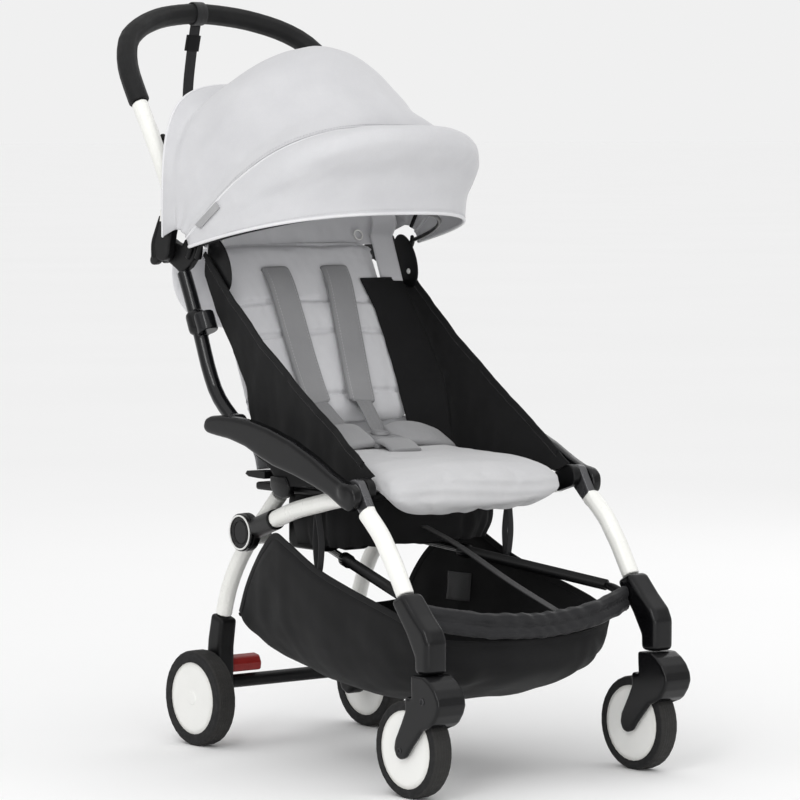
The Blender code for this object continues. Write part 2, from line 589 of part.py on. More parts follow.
def pad_ring(y, zb, zt, half, squeeze=0.82):
    """Cross-section of a pad at one station: flat below, crowned above."""
    return [(-half, y, (zb + zt) / 2), (-half * squeeze, y, zb), (0, y, zb), (half * squeeze, y, zb),
            (half, y, (zb + zt) / 2), (half * squeeze, y, zt - 0.002), (0, y, zt), (-half * squeeze, y, zt - 0.002)]


cushion("seat_cushion",
        [pad_ring(-0.2860, 0.3720, 0.3920, 0.1400), pad_ring(-0.2780, 0.3640, 0.4060, 0.1580),
         pad_ring(-0.2500, 0.3720, 0.4180, 0.1660), pad_ring(-0.2240, 0.3890, 0.4220, 0.1670),
         pad_ring(-0.1300, 0.3890, 0.4260, 0.1650), pad_ring(-0.0500, 0.3890, 0.4300, 0.1600),
         pad_ring(-0.0040, 0.3900, 0.4330, 0.1200), pad_ring(0.0340, 0.3910, 0.4330, 0.1120),
         pad_ring(0.0430, 0.3960, 0.4280, 0.1000)], PAD_FABRIC)

BACK_LO = Vector((0, 0.0560, 0.4480))
BACK_HI = Vector((0, 0.1640, 0.7200))
up = (BACK_HI - BACK_LO).normalized()
out = Vector((0, -up.z, up.y))


def back_ring(along, front, behind, half):
    base = BACK_LO + up * along
    f, b = base + out * front, base - out * behind
    mid = (f + b) / 2
    return [(-half, mid.y, mid.z), (-half * 0.86, b.y, b.z), (0, b.y, b.z), (half * 0.86, b.y, b.z),
            (half, mid.y, mid.z), (half * 0.86, f.y, f.z), (0, f.y, f.z), (-half * 0.86, f.y, f.z)]


LEN = (BACK_HI - BACK_LO).length


def curtain_ring(y_side, y_mid, z, half, thick=0.0030):
    """Cross-section of the thin curtain that goes on up from the pad to the hood."""
    return [(-half, y_side, z), (-half * 0.92, y_side + thick, z), (0, y_mid + thick / 2, z), (half * 0.92, y_side + thick, z),
            (half, y_side, z), (half * 0.92, y_side - thick / 2, z), (0, y_mid - thick / 2, z), (-half * 0.92, y_side - thick / 2, z)]


# one sewn cover: the pad, and above it a curtain that closes the hood's rear
cushion("seat_back",
        [back_ring(0.0, 0.006, 0.006, 0.140), back_ring(0.012, 0.016, 0.010, 0.1560),
         back_ring(LEN * 0.35, 0.018, 0.012, 0.1600), back_ring(LEN * 0.7, 0.018, 0.012, 0.1600),
         back_ring(LEN - 0.016, 0.014, 0.009, 0.1600), back_ring(LEN - 0.002, 0.005, 0.002, 0.1610),
         curtain_ring(0.1735, 0.1770, 0.7480, 0.1620), curtain_ring(0.1800, 0.1920, 0.7900, 0.1620),
         curtain_ring(0.1860, 0.2070, 0.8400, 0.1600), curtain_ring(0.1900, 0.2150, 0.8850, 0.1560),
         curtain_ring(0.1920, 0.2190, 0.9060, 0.1370), curtain_ring(0.1950, 0.2195, 0.9190, 0.1000)], PAD_FABRIC)

cushion("backrest_pocket",
        [[(-0.150, 0.165, 0.582), (0, 0.160, 0.578), (0.150, 0.165, 0.582), (0.150, 0.190, 0.587), (0, 0.195, 0.587), (-0.150, 0.190, 0.587)],
         [(-0.168, 0.158, 0.604), (0, 0.152, 0.602), (0.168, 0.158, 0.604), (0.168, 0.250, 0.612), (0, 0.258, 0.610), (-0.168, 0.250, 0.612)],
         [(-0.170, 0.178, 0.652), (0, 0.172, 0.652), (0.170, 0.178, 0.652), (0.170, 0.276, 0.656), (0, 0.282, 0.656), (-0.170, 0.276, 0.656)],
         [(-0.168, 0.196, 0.692), (0, 0.190, 0.692), (0.168, 0.196, 0.692), (0.168, 0.272, 0.694), (0, 0.276, 0.694), (-0.168, 0.272, 0.694)],
         [(-0.158, 0.206, 0.712), (0, 0.202, 0.712), (0.158, 0.206, 0.712), (0.158, 0.250, 0.712), (0, 0.252, 0.712), (-0.158, 0.250, 0.712)]],
        GREY_FABRIC)

WING = [(0.1290, 0.7030), (0.0696, 0.6471), (-0.0071, 0.5836), (-0.0955, 0.5222), (-0.1820, 0.4674),
        (-0.2369, 0.4300), (-0.2600, 0.4140), (-0.2350, 0.4040), (-0.1500, 0.3930), (-0.0700, 0.3870),
        (-0.0470, 0.3870), (-0.0240, 0.4090), (0.0080, 0.4250), (0.0180, 0.4500), (0.0180, 0.4700), (0.0320, 0.5200),
        (0.0640, 0.5700), (0.1000, 0.6180), (0.1300, 0.6720)]
for tag, s in SIDES.items():
    outline_x("side_panel_" + tag, WING, side(0.1692, s), side(0.1712, s), BLACK_FABRIC)


def strap(name, centre_line, width_axis, width, thick, mat):
    """A flat webbing strap: a rectangle swept along a line in space."""
    mesh = bpy.data.meshes.new(name)
    bm = bmesh.new()
    w = Vector(width_axis).normalized()
    pts = [Vector(p) for p in centre_line]
    rings = []
    for i, p in enumerate(pts):
        t = (pts[min(i + 1, len(pts) - 1)] - pts[max(i - 1, 0)]).normalized()
        n = t.cross(w).normalized()
        rings.append([bm.verts.new(p + w * a * width / 2 + n * b * thick / 2)
                      for a, b in ((-1, -1), (1, -1), (1, 1), (-1, 1))])
    for i in range(len(rings) - 1):
        for j in range(4):
            bm.faces.new((rings[i][j], rings[i][(j + 1) % 4], rings[i + 1][(j + 1) % 4], rings[i + 1][j]))
    bm.faces.new(rings[0][::-1])
    bm.faces.new(rings[-1])
    bmesh.ops.recalc_face_normals(bm, faces=bm.faces)
    bm.to_mesh(mesh)
    bm.free()
    obj = bpy.data.objects.new(name, mesh)
    return place(obj, mat)


for tag, s in SIDES.items():
    line = []
    for k in range(7):
        t = k / 6
        base = BACK_LO + up * (LEN * (0.80 - 0.72 * t)) + out * 0.0245
        line.append((s * (0.052 - 0.012 * t), base.y, base.z))
    strap("shoulder_strap_" + tag, line, (1, 0, 0), 0.040, 0.008, WEBBING)

block("harness_buckle", (0, -0.0500, 0.4420), (0.052, 0.056, 0.016), WEBBING, 0.005, 2, rot_x=math.radians(6))
recess_mesh = bpy.data.meshes.new("button_recess")
rb = bmesh.new()
bmesh.ops.create_cone(rb, cap_ends=True, segments=24, radius1=0.0134, radius2=0.0134, depth=0.0200)
rb.to_mesh(recess_mesh)
rb.free()
recess = bpy.data.objects.new("button_recess", recess_mesh)
recess.matrix_world = Matrix.Translation((0, -0.0500 - 0.0016, 0.4420 + 0.0142)) @ Matrix.Rotation(math.radians(6), 4, "X")
PARTS.objects.link(recess)
boolean(bpy.data.objects["harness_buckle"], recess, "DIFFERENCE")
knob_mesh = bpy.data.meshes.new("buckle_button")
kb = bmesh.new()
bmesh.ops.create_cone(kb, cap_ends=True, segments=20, radius1=0.0125, radius2=0.0115, depth=0.0040)
kb.to_mesh(knob_mesh)
kb.free()
knob = bpy.data.objects.new("buckle_button", knob_mesh)
knob.matrix_world = Matrix.Translation((0, -0.0500 - 0.0012, 0.4420 + 0.0104)) @ Matrix.Rotation(math.radians(6), 4, "X")
place(knob, WEBBING)

# strap that hangs from the middle of the grip to the pocket behind the back rest
HANG = [(-0.002, 0.3900, 1.0280), (-0.004, 0.3990, 0.9800), (-0.007, 0.4030, 0.9300), (-0.009, 0.3990, 0.8800),
        (-0.009, 0.3850, 0.8330), (-0.008, 0.3600, 0.7900), (-0.006, 0.3280, 0.7540), (-0.003, 0.2920, 0.7300), (0.0, 0.2560, 0.7190)]
strap("handle_strap", smooth_path(HANG, 17), (1, 0, 0), 0.0180, 0.0022, STRAP)

# ------------------------------------------------------------------ basket
# stations from the front edge to the rear: y at the sides, forward bow, half width, rim height, floor height
BASKET = [(-0.3520, 0.050, 0.160, 0.2130, 0.1930), (-0.3500, 0.062, 0.165, 0.2150, 0.1650),
          (-0.3350, 0.056, 0.167, 0.2200, 0.1420), (-0.3050, 0.030, 0.169, 0.2300, 0.1210),
          (-0.2620, 0.015, 0.170, 0.2410, 0.1050), (-0.2000, 0.000, 0.170, 0.2560, 0.0960),
          (-0.1300, 0.000, 0.170, 0.2762, 0.0990), (-0.0600, 0.000, 0.168, 0.3060, 0.1060),
          (-0.0270, 0.000, 0.165, 0.3150, 0.1120), (0.0060, 0.000, 0.160, 0.2930, 0.1190),
          (0.0360, 0.000, 0.153, 0.2660, 0.1280), (0.0600, 0.000, 0.149, 0.2350, 0.1400),
          (0.0750, 0.000, 0.147, 0.2060, 0.1600), (0.0800, 0.000, 0.146, 0.1980, 0.1900)]


def basket_row(y, bow, half, rim, floor, count=17, power=3.2):
    row = []
    for k in range(count):
        t = math.pi * k / (count - 1)
        c, sn = math.cos(t), max(math.sin(t), 0.0)
        x = half * math.copysign(abs(c) ** (2 / power), c)
        row.append((x, y - bow * (1 - (x / half) ** 2), rim - (rim - floor) * sn ** (2 / power)))
    return row


sheet("basket", [basket_row(*b) for b in BASKET], 0.0020, BLACK_FABRIC, inward=-1)

# ------------------------------------------------------------------ moving groups, on empties at their joints
both = [("right", -1), ("left", 1)]
GROUPS = {
    "front_legs": (J, ["front_leg_right", "front_leg_left", "caster_housing_right", "caster_housing_left",
                       "front_crossbar"]),
    "rear_legs": (H, ["rear_leg_right", "rear_leg_left", "rear_lower_leg_right", "rear_lower_leg_left",
                      "rear_crossbar"]),
    "back_frame": (P, ["back_tube_right", "back_tube_left", "hinge_clamp_right", "hinge_clamp_left", "seat_back",
                       "backrest_pocket", "side_panel_right", "side_panel_left", "shoulder_strap_right",
                       "shoulder_strap_left"]),
    "handlebar": (KP, ["handle_tube_right", "handle_tube_left", "handle_grip", "handle_strap"]),
    "hood_rear": (KC, ["canopy_hood", "canopy_bow_middle"]),
    "hood_front": (KC, ["canopy_visor", "canopy_bow_front"]),
    "brake_lever": (Vector((-0.0785, 0.1640, 0.1100)), ["brake_pedal"]),
    "fold_tab": (Vector((-0.1375, 0.0160, 0.3955)), ["release_tab"]),
    "buckle_press": (Vector((0.0, -0.0512, 0.4524)), ["buckle_button"]),
}
PARENT = {"handlebar": "back_frame", "hood_rear": "back_frame", "hood_front": "hood_rear",
          "brake_lever": "rear_legs"}
for tag, s in both:
    GROUPS["swivel_" + tag] = (Vector((s * FRONT_X, SWIVEL_Y, 0.1664)), ["caster_fork_" + tag])
    GROUPS["front_wheel_axle_" + tag] = (Vector((s * FRONT_X, *FRONT_AXLE)), ["front_tyre_" + tag, "front_wheel_" + tag])
    GROUPS["rear_wheel_axle_" + tag] = (Vector((s * REAR_X, *REAR_AXLE)), ["rear_tyre_" + tag, "rear_wheel_" + tag])
    GROUPS["strut_slider_" + tag] = (Vector((s * STRUT_B.x, STRUT_B.y, STRUT_B.z)), ["strut_sleeve_" + tag])
    GROUPS["fold_button_" + tag] = (Vector((s * 0.1710, 0.2290, 0.8550)), ["handle_button_" + tag])
    PARENT["swivel_" + tag] = "front_legs"
    PARENT["front_wheel_axle_" + tag] = "swivel_" + tag
    PARENT["rear_wheel_axle_" + tag] = "rear_legs"
    PARENT["fold_button_" + tag] = "handlebar"


def empty(name, location, parent=None, parent_at=Vector((0, 0, 0))):
    obj = bpy.data.objects.new("axis_" + name, None)
    obj.empty_display_size = 0.02
    PARTS.objects.link(obj)
    obj.location = Vector(location) - parent_at
    obj.parent = parent
    return obj


root = empty("stroller", (0, FRAME_SHIFT, 0))
axes = {}
for name in sorted(GROUPS, key=lambda n: 0 if n not in PARENT else 1 if PARENT[n] not in PARENT else 2):
    at = GROUPS[name][0]
    up_name = PARENT.get(name)
    axes[name] = empty(name, at, axes[up_name] if up_name else root, GROUPS[up_name][0] if up_name else Vector((0, 0, 0)))
owner = {node: name for name, (at, nodes) in GROUPS.items() for node in nodes}
for obj in [o for o in PARTS.objects if o.type != "EMPTY"] + list(CUTTERS.objects):
    holder, at = root, Vector((0, 0, 0))
    if obj.name in owner:
        holder, at = axes[owner[obj.name]], GROUPS[owner[obj.name]][0]
    placed = obj.matrix_world.copy()
    obj.parent = holder
    obj.matrix_parent_inverse = Matrix.Identity(4)
    obj.matrix_basis = Matrix.Translation(-at) @ placed
bpy.context.view_layer.update()
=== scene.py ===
"""The looks of the compact folding stroller: materials, sewn goods, trims, studio and camera.

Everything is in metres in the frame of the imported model. W(x, y, z) takes a point in the design
coordinates, whose origin is DY further back along Y, and gives it in that frame.
"""
import math

import bmesh
import bpy
import numpy as np
from mathutils import Matrix, Vector

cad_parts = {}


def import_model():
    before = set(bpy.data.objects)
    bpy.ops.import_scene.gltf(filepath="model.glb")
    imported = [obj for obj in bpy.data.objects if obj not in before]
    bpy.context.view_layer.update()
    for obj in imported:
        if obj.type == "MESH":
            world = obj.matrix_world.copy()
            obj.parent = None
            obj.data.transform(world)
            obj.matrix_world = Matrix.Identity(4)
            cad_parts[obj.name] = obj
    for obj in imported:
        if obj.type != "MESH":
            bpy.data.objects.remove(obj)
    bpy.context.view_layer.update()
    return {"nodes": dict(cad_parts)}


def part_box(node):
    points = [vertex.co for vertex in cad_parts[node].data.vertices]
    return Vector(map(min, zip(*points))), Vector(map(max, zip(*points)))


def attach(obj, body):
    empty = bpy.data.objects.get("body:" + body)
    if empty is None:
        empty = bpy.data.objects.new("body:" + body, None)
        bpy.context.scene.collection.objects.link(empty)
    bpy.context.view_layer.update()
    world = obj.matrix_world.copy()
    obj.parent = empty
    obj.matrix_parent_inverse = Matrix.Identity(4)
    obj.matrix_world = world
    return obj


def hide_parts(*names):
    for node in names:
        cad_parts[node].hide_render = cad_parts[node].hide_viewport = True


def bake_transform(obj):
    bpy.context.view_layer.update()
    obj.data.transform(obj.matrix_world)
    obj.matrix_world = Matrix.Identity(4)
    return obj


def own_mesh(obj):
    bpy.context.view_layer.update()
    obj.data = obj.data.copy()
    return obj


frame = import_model()
NODES = frame["nodes"]
DY = 0.0277
SIDES = (("right", -1), ("left", 1))
TAU = 2 * math.pi


def W(x, y, z):
    return Vector((x, y + DY, z))


def world(points):
    p = np.array(points, float).reshape(-1, 3)
    p[:, 1] += DY
    return p


# ---------------------------------------------------------------- studio and camera
def make_camera():
    yaw, pitch = -0.66315397, 0.0677228413
    ahead = Vector((math.sin(-yaw) * math.cos(pitch), math.cos(yaw) * math.cos(pitch), -math.sin(pitch)))
    right = Vector((math.cos(yaw), math.sin(yaw), 0))
    above = right.cross(ahead)
    data = bpy.data.cameras.new("camera")
    data.sensor_width = 36
    data.lens = 4061.33066 / 800 * 36
    data.clip_end = 600
    cam = bpy.data.objects.new("camera", data)
    bpy.context.scene.collection.objects.link(cam)
    m = Matrix((right, above, -ahead)).transposed().to_4x4()
    m.translation = Vector((-3.46366, -4.53087 + DY, 0.88173))
    cam.matrix_world = m
    bpy.context.scene.camera = cam


def area_light(name, at, to, size, power, size_y=None, colour=(1, 1, 1)):
    data = bpy.data.lights.new(name, "AREA")
    data.energy = power
    data.color = colour
    data.shape = "RECTANGLE"
    data.size = size
    data.size_y = size_y or size
    lamp = bpy.data.objects.new(name, data)
    bpy.context.scene.collection.objects.link(lamp)
    lamp.location = at
    lamp.rotation_mode = "QUATERNION"
    lamp.rotation_quaternion = (Vector(to) - Vector(at)).to_track_quat("-Z", "Y")
    return lamp


# ---------------------------------------------------------------- node materials
def lin(r, g=None, b=None):
    g, b = (r if g is None else g), (r if b is None else b)
    return tuple(((c / 255) / 12.92 if c / 255 <= 0.04045 else (((c / 255) + 0.055) / 1.055) ** 2.4) for c in (r, g, b)) + (1.0,)


class Paint:
    """A material under construction, with small helpers for its nodes."""

    def __init__(self, name, rough=0.5, **fixed):
        self.mat = bpy.data.materials.new(name)
        self.mat.use_nodes = True
        self.tree = self.mat.node_tree
        self.shader = next(n for n in self.tree.nodes if n.type == "BSDF_PRINCIPLED")
        self.shader.inputs["Roughness"].default_value = rough
        for key, value in fixed.items():
            self.shader.inputs[key.replace("_", " ")].default_value = value
        self._coord = None

    def add(self, kind, props=None, **ins):
        node = self.tree.nodes.new(kind)
        for key, value in (props or {}).items():
            setattr(node, key, value)
        for key, value in ins.items():
            self.put(node.inputs[int(key[1:])] if key[0] == "i" and key[1:].isdigit() else node.inputs[key.replace("_", " ")], value)
        return node

    def put(self, socket, value):
        if isinstance(value, bpy.types.NodeSocket):
            self.tree.links.new(value, socket)
        else:
            socket.default_value = value

    def place(self):
        if self._coord is None:
            self._coord = self.add("ShaderNodeTexCoord")
        return self._coord

    def at(self):
        return self.place().outputs["Object"]

    def sums(self, op, a, b=0.0, c=None, clamp=False):
        node = self.add("ShaderNodeMath", {"operation": op, "use_clamp": clamp}, i0=a, i1=b)
        if c is not None:
            self.put(node.inputs[2], c)
        return node.outputs[0]

    def noise(self, scale, detail=3.0, rough=0.55, at=None, stretch=None):
        where = at or self.at()
        if stretch:
            where = self.add("ShaderNodeVectorMath", {"operation": "MULTIPLY"}, i0=where, i1=stretch).outputs[0]
        return self.add("ShaderNodeTexNoise", None, Vector=where, Scale=scale, Detail=detail, Roughness=rough).outputs[0]

    def voronoi(self, scale, feature="F1", at=None, out="Distance"):
        return self.add("ShaderNodeTexVoronoi", {"feature": feature}, Vector=at or self.at(), Scale=scale).outputs[out]

    def span(self, value, lo, hi, a, b, smooth=False):
        node = self.add("ShaderNodeMapRange", {"interpolation_type": "SMOOTHSTEP" if smooth else "LINEAR"}, i0=value, i1=lo, i2=hi, i3=a, i4=b)
        return node.outputs[0]

    def blend(self, fac, a, b):
        node = self.add("ShaderNodeMix", {"data_type": "RGBA"})
        self.put(node.inputs[0], fac)
        self.put(node.inputs[6], a)
        self.put(node.inputs[7], b)
        return node.outputs[2]

    def colour(self, value):
        self.put(self.shader.inputs["Base Color"], value)
        return self

    def rough(self, value):
        self.put(self.shader.inputs["Roughness"], value)
        return self

    def bump(self, height, strength=0.3, distance=0.0005, under=None):
        node = self.add("ShaderNodeBump", None, Strength=strength, Distance=distance, Height=height)
        if under is not None:
            self.put(node.inputs["Normal"], under)
        self.tree.links.new(node.outputs[0], self.shader.inputs["Normal"])
        return node.outputs[0]

    def axes(self, vector=None):
        node = self.add("ShaderNodeSeparateXYZ", None, i0=vector or self.at())
        return node.outputs[0], node.outputs[1], node.outputs[2]

    def threads(self, u, v, per_metre):
        """Crossing threads: high where a thread lies on top."""
        k = TAU * per_metre / 2
        a = self.sums("SINE", self.sums("MULTIPLY", u, k))
        b = self.sums("SINE", self.sums("MULTIPLY", v, k))
        return self.sums("MULTIPLY_ADD", self.sums("MULTIPLY", a, b), 0.5, 0.5)

    def weave3(self, per_metre):
        """A weave on a surface that faces any way, from three flat ones."""
        x, y, z = self.axes()
        n = self.add("ShaderNodeSeparateXYZ", None, i0=self.place().outputs["Normal"])
        w = [self.sums("POWER", self.sums("ABSOLUTE", n.outputs[i]), 4.0) for i in range(3)]
        flat = [self.threads(y, z, per_metre), self.threads(x, z, per_metre), self.threads(x, y, per_metre)]
        total = self.sums("ADD", self.sums("ADD", w[0], w[1]), w[2])
        mixed = self.sums("MULTIPLY", flat[0], w[0])
        mixed = self.sums("MULTIPLY_ADD", flat[1], w[1], mixed)
        mixed = self.sums("MULTIPLY_ADD", flat[2], w[2], mixed)
        return self.sums("DIVIDE", mixed, total)

    def weave_uv(self, per_metre):
        node = self.add("ShaderNodeSeparateXYZ", None, i0=self.place().outputs["UV"])
        return self.threads(node.outputs[0], node.outputs[1], per_metre)


def painted(name, light, dark, rough_lo, rough_hi, peel=0.06, **fixed):
    """Powder-coated or moulded surface: a fine peel, slow tone changes and small scuffs."""
    p = Paint(name, **fixed)
    tone = p.noise(14, 3)
    fine = p.noise(260, 4, 0.6)
    p.colour(p.blend(p.span(p.sums("MULTIPLY_ADD", fine, 0.35, p.sums("MULTIPLY", tone, 0.65)), 0.3, 0.7, 0.0, 1.0), dark, light))
    scuff = p.span(p.noise(45, 6, 0.7, stretch=(1, 1, 0.25)), 0.45, 0.72, 0.0, 1.0)
    p.rough(p.span(p.sums("MULTIPLY_ADD", scuff, 0.4, p.sums("MULTIPLY", fine, 0.6)), 0.2, 0.8, rough_lo, rough_hi))
    skin = p.noise(900, 2, 0.5)
    p.bump(p.sums("MULTIPLY_ADD", scuff, -0.25, skin), peel, 0.0004)
    return p.mat


def grained(name, light, dark, rough_lo, rough_hi, cell=900, strength=0.25, **fixed):
    """Moulded plastic with a fine leather-like spark grain."""
    p = Paint(name, **fixed)
    tone = p.noise(20, 4, 0.6)
    grain = p.voronoi(cell)
    wear = p.span(p.noise(70, 6, 0.72, stretch=(1, 1, 0.4)), 0.5, 0.75, 0.0, 1.0)
    p.colour(p.blend(p.span(p.sums("MULTIPLY_ADD", wear, 0.5, tone), 0.35, 0.85, 0.0, 1.0), dark, light))
    p.rough(p.span(p.sums("MULTIPLY_ADD", grain, 0.35, p.sums("MULTIPLY", tone, 0.65)), 0.2, 0.7, rough_lo, rough_hi))
    p.bump(p.sums("MULTIPLY_ADD", p.noise(500, 3), 0.5, grain), strength, 0.0003)
    return p.mat


def fabric(name, light, dark, per_metre=900, weave=0.35, rough=0.85, uv=False, sheen=0.25, mottle=0.45, soft=0.0012):
    """Woven cloth: threads, flecked yarn, slow tone changes and a soft unevenness."""
    p = Paint(name, rough=rough, Sheen_Weight=sheen, Sheen_Roughness=0.5, Specular_IOR_Level=0.25)
    w = p.weave_uv(per_metre) if uv else p.weave3(per_metre)
    yarn = p.noise(1400, 2, 0.5)
    cloud = p.noise(11, 4, 0.6)
    mix = p.sums("MULTIPLY_ADD", yarn, mottle, p.sums("MULTIPLY", cloud, 1 - mottle))
    mix = p.sums("MULTIPLY_ADD", w, 0.18, mix)
    p.colour(p.blend(p.span(mix, 0.35, 0.8, 0.0, 1.0), dark, light))
    p.rough(p.span(yarn, 0.2, 0.8, rough - 0.08, min(1.0, rough + 0.08)))
    under = p.bump(p.noise(38, 5, 0.6), 0.35, soft)
    p.bump(p.sums("MULTIPLY_ADD", yarn, 0.4, w), weave, 0.0003, under)
    return p.mat


def webbing(name, light, dark, rib=520, rough=0.7):
    """Woven strap: ribs across, a herringbone of yarns and slightly raised edges. UV runs along U."""
    p = Paint(name, rough=rough, Sheen_Weight=0.2, Specular_IOR_Level=0.3)
    node = p.add("ShaderNodeSeparateXYZ", None, i0=p.place().outputs["UV"])
    u, v = node.outputs[0], node.outputs[1]
    slant = p.sums("ADD", u, p.sums("PINGPONG", v, 0.004))
    ribs = p.sums("MULTIPLY_ADD", p.sums("SINE", p.sums("MULTIPLY", slant, TAU * rib)), 0.5, 0.5)
    yarn = p.noise(1200, 2)
    p.colour(p.blend(p.span(p.sums("MULTIPLY_ADD", ribs, 0.5, p.sums("MULTIPLY", yarn, 0.5)), 0.2, 0.8, 0.0, 1.0), dark, light))
    p.bump(p.sums("MULTIPLY_ADD", yarn, 0.3, ribs), 0.5, 0.0004)
    return p.mat


def leather(name, light, dark):
    p = Paint(name, rough=0.48, Specular_IOR_Level=0.26)
    cells = p.voronoi(520, "DISTANCE_TO_EDGE")
    fine = p.voronoi(1300)
    tone = p.noise(30, 4, 0.6)
    p.colour(p.blend(p.span(tone, 0.3, 0.7, 0.0, 1.0), dark, light))
    p.rough(p.span(p.sums("ADD", cells, p.sums("MULTIPLY", tone, 0.3)), 0.0, 0.5, 0.62, 0.42))
    under = p.bump(p.span(cells, 0.0, 0.12, 0.0, 1.0), 0.45, 0.0004)
    p.bump(fine, 0.15, 0.0002, under)
    return p.mat


def rubber(name, centre, radius):
    """Solid tyre: matte, dusty at the tread, with shallow grooves round it and fine cross sipes."""
    p = Paint(name, rough=0.75, Specular_IOR_Level=0.3)
    x, y, z = p.axes()
    dy, dz = p.sums("SUBTRACT", y, centre[1]), p.sums("SUBTRACT", z, centre[2])
    far = p.sums("SQRT", p.sums("MULTIPLY_ADD", dy, dy, p.sums("MULTIPLY", dz, dz)))
    turn = p.sums("ARCTAN2", dz, dy)
    on_tread = p.span(far, radius * 0.955, radius * 0.985, 0.0, 1.0, True)
    dx = p.sums("ABSOLUTE", p.sums("SUBTRACT", x, centre[0]))
    grooves = p.span(p.sums("ABSOLUTE", p.sums("SUBTRACT", p.sums("PINGPONG", dx, 0.0042), 0.0021)), 0.0, 0.0007, 0.0, 1.0, True)
    sipes = p.span(p.sums("ABSOLUTE", p.sums("SINE", p.sums("MULTIPLY", turn, 44.0))), 0.0, 0.22, 0.0, 1.0)
    pattern = p.sums("MULTIPLY", grooves, sipes)
    tread = p.sums("SUBTRACT", 1.0, p.sums("MULTIPLY", on_tread, p.sums("SUBTRACT", 1.0, pattern)))
    dust = p.sums("MULTIPLY", p.noise(60, 6, 0.7), on_tread)
    rings = p.sums("MULTIPLY_ADD", p.sums("SINE", p.sums("MULTIPLY", far, TAU * 260)), 0.5, 0.5)
    side_ring = p.sums("MULTIPLY", rings, p.span(far, radius * 0.86, radius * 0.94, 1.0, 0.0, True))
    p.colour(p.blend(p.span(p.sums("ADD", dust, p.sums("MULTIPLY", p.noise(25, 3), 0.35)), 0.1, 1.1, 0.0, 1.0), lin(26, 26, 27), lin(50, 49, 47)))
    p.rough(p.span(p.noise(120, 4), 0.3, 0.7, 0.62, 0.85))
    p.bump(p.sums("MULTIPLY_ADD", side_ring, 0.12, p.sums("MULTIPLY_ADD", p.noise(1500, 2), 0.08, tread)), 0.6, 0.0010)
    return p.mat


def disc_plastic(name, centre, radius):
    """White moulded wheel disc: faint turning rings and a flow pattern, and blotchy darkening towards the rim."""
    p = Paint(name, rough=0.35)
    x, y, z = p.axes()
    dy, dz = p.sums("SUBTRACT", y, centre[1]), p.sums("SUBTRACT", z, centre[2])
    far = p.sums("SQRT", p.sums("MULTIPLY_ADD", dy, dy, p.sums("MULTIPLY", dz, dz)))
    rim = p.span(far, radius * 0.80, radius * 1.0, 0.0, 1.0, True)
    # the colour darkens in blotches over the outer fifth of the disc, next to the tyre
    rim_darkening = p.sums("MULTIPLY", rim, p.noise(80, 6, 0.7))
    p.colour(p.blend(p.span(p.sums("MULTIPLY_ADD", p.noise(18, 3), 0.25, rim_darkening), 0.1, 1.2, 0.0, 1.0), lin(236, 236, 233), lin(196, 194, 188)))
    p.rough(p.span(p.noise(150, 4), 0.3, 0.7, 0.28, 0.42))
    rings = p.sums("MULTIPLY_ADD", p.sums("SINE", p.sums("MULTIPLY", far, TAU * 330)), 0.5, 0.5)
    p.bump(p.sums("MULTIPLY_ADD", rings, 0.3, p.noise(700, 2)), 0.08, 0.0004)
    return p.mat


M = {}
M["white"] = painted("white_paint", lin(239, 239, 235), lin(229, 229, 224), 0.26, 0.42, 0.05, Coat_Weight=0.25, Coat_Roughness=0.2)
M["trim_white"] = painted("trim_white", lin(232, 232, 230), lin(214, 214, 211), 0.3, 0.45, 0.05)
M["tube_black"] = painted("black_anodised", lin(22, 23, 25), lin(11, 11, 13), 0.14, 0.25, 0.04, Specular_IOR_Level=0.36)
M["plastic"] = grained("black_moulding", lin(17, 17, 18), lin(8, 8, 9), 0.30, 0.46, 1000, 0.14, Specular_IOR_Level=0.22)
M["satin"] = grained("black_satin_moulding", lin(15, 15, 17), lin(7, 7, 8), 0.15, 0.27, 1500, 0.04, Specular_IOR_Level=0.30)
M["screw"] = painted("dark_screw", lin(58, 58, 60), lin(38, 38, 40), 0.22, 0.36, 0.05, Metallic=0.7)
M["cap"] = painted("hub_cap_black", lin(15, 15, 16), lin(8, 8, 9), 0.16, 0.28, 0.03, Specular_IOR_Level=0.28)
M["join"] = fabric("join_cloth", lin(168, 168, 170), lin(150, 150, 153), 900, 0.2, 0.85, uv=True, sheen=0.15)
M["tag"] = fabric("tag_cloth", lin(168, 168, 169), lin(140, 140, 142), 900, 0.3, 0.7, uv=True)
M["label"] = fabric("label_cloth", lin(62, 62, 63), lin(48, 48, 49), 900, 0.3, 0.6, uv=True)
M["collar"] = painted("grey_collar", lin(92, 92, 94), lin(70, 70, 72), 0.2, 0.34, 0.04, Metallic=0.5)
M["steel"] = painted("screw_steel", lin(150, 150, 152), lin(118, 118, 120), 0.25, 0.4, 0.05, Metallic=0.9)
M["grip"] = leather("black_grip_leather", lin(20, 20, 21), lin(10, 10, 11))
M["hood"] = fabric("hood_cloth", lin(207, 207, 209), lin(190, 190, 193), 1000, 0.16, 0.82, uv=True, sheen=0.25)
M["liner"] = fabric("liner_cloth", lin(212, 212, 214), lin(196, 196, 199), 1000, 0.16, 0.85, uv=True, sheen=0.2)
M["pad"] = fabric("pad_cloth", lin(216, 216, 218), lin(200, 200, 203), 900, 0.18, 0.85)
M["seat"] = fabric("seat_cloth", lin(198, 198, 199), lin(183, 183, 185), 900, 0.18, 0.82)
M["pocket"] = fabric("pocket_cloth", lin(220, 220, 222), lin(204, 204, 207), 1000, 0.16, 0.82)
M["harness"] = fabric("harness_cloth", lin(152, 152, 153), lin(132, 132, 134), 800, 0.3, 0.85)
M["black_cloth"] = fabric("black_cloth", lin(20, 20, 21), lin(9, 9, 10), 900, 0.35, 0.85, uv=True, sheen=0.05)
M["black_cloth3"] = fabric("black_cloth_trim", lin(20, 20, 21), lin(9, 9, 10), 900, 0.35, 0.85, sheen=0.05)
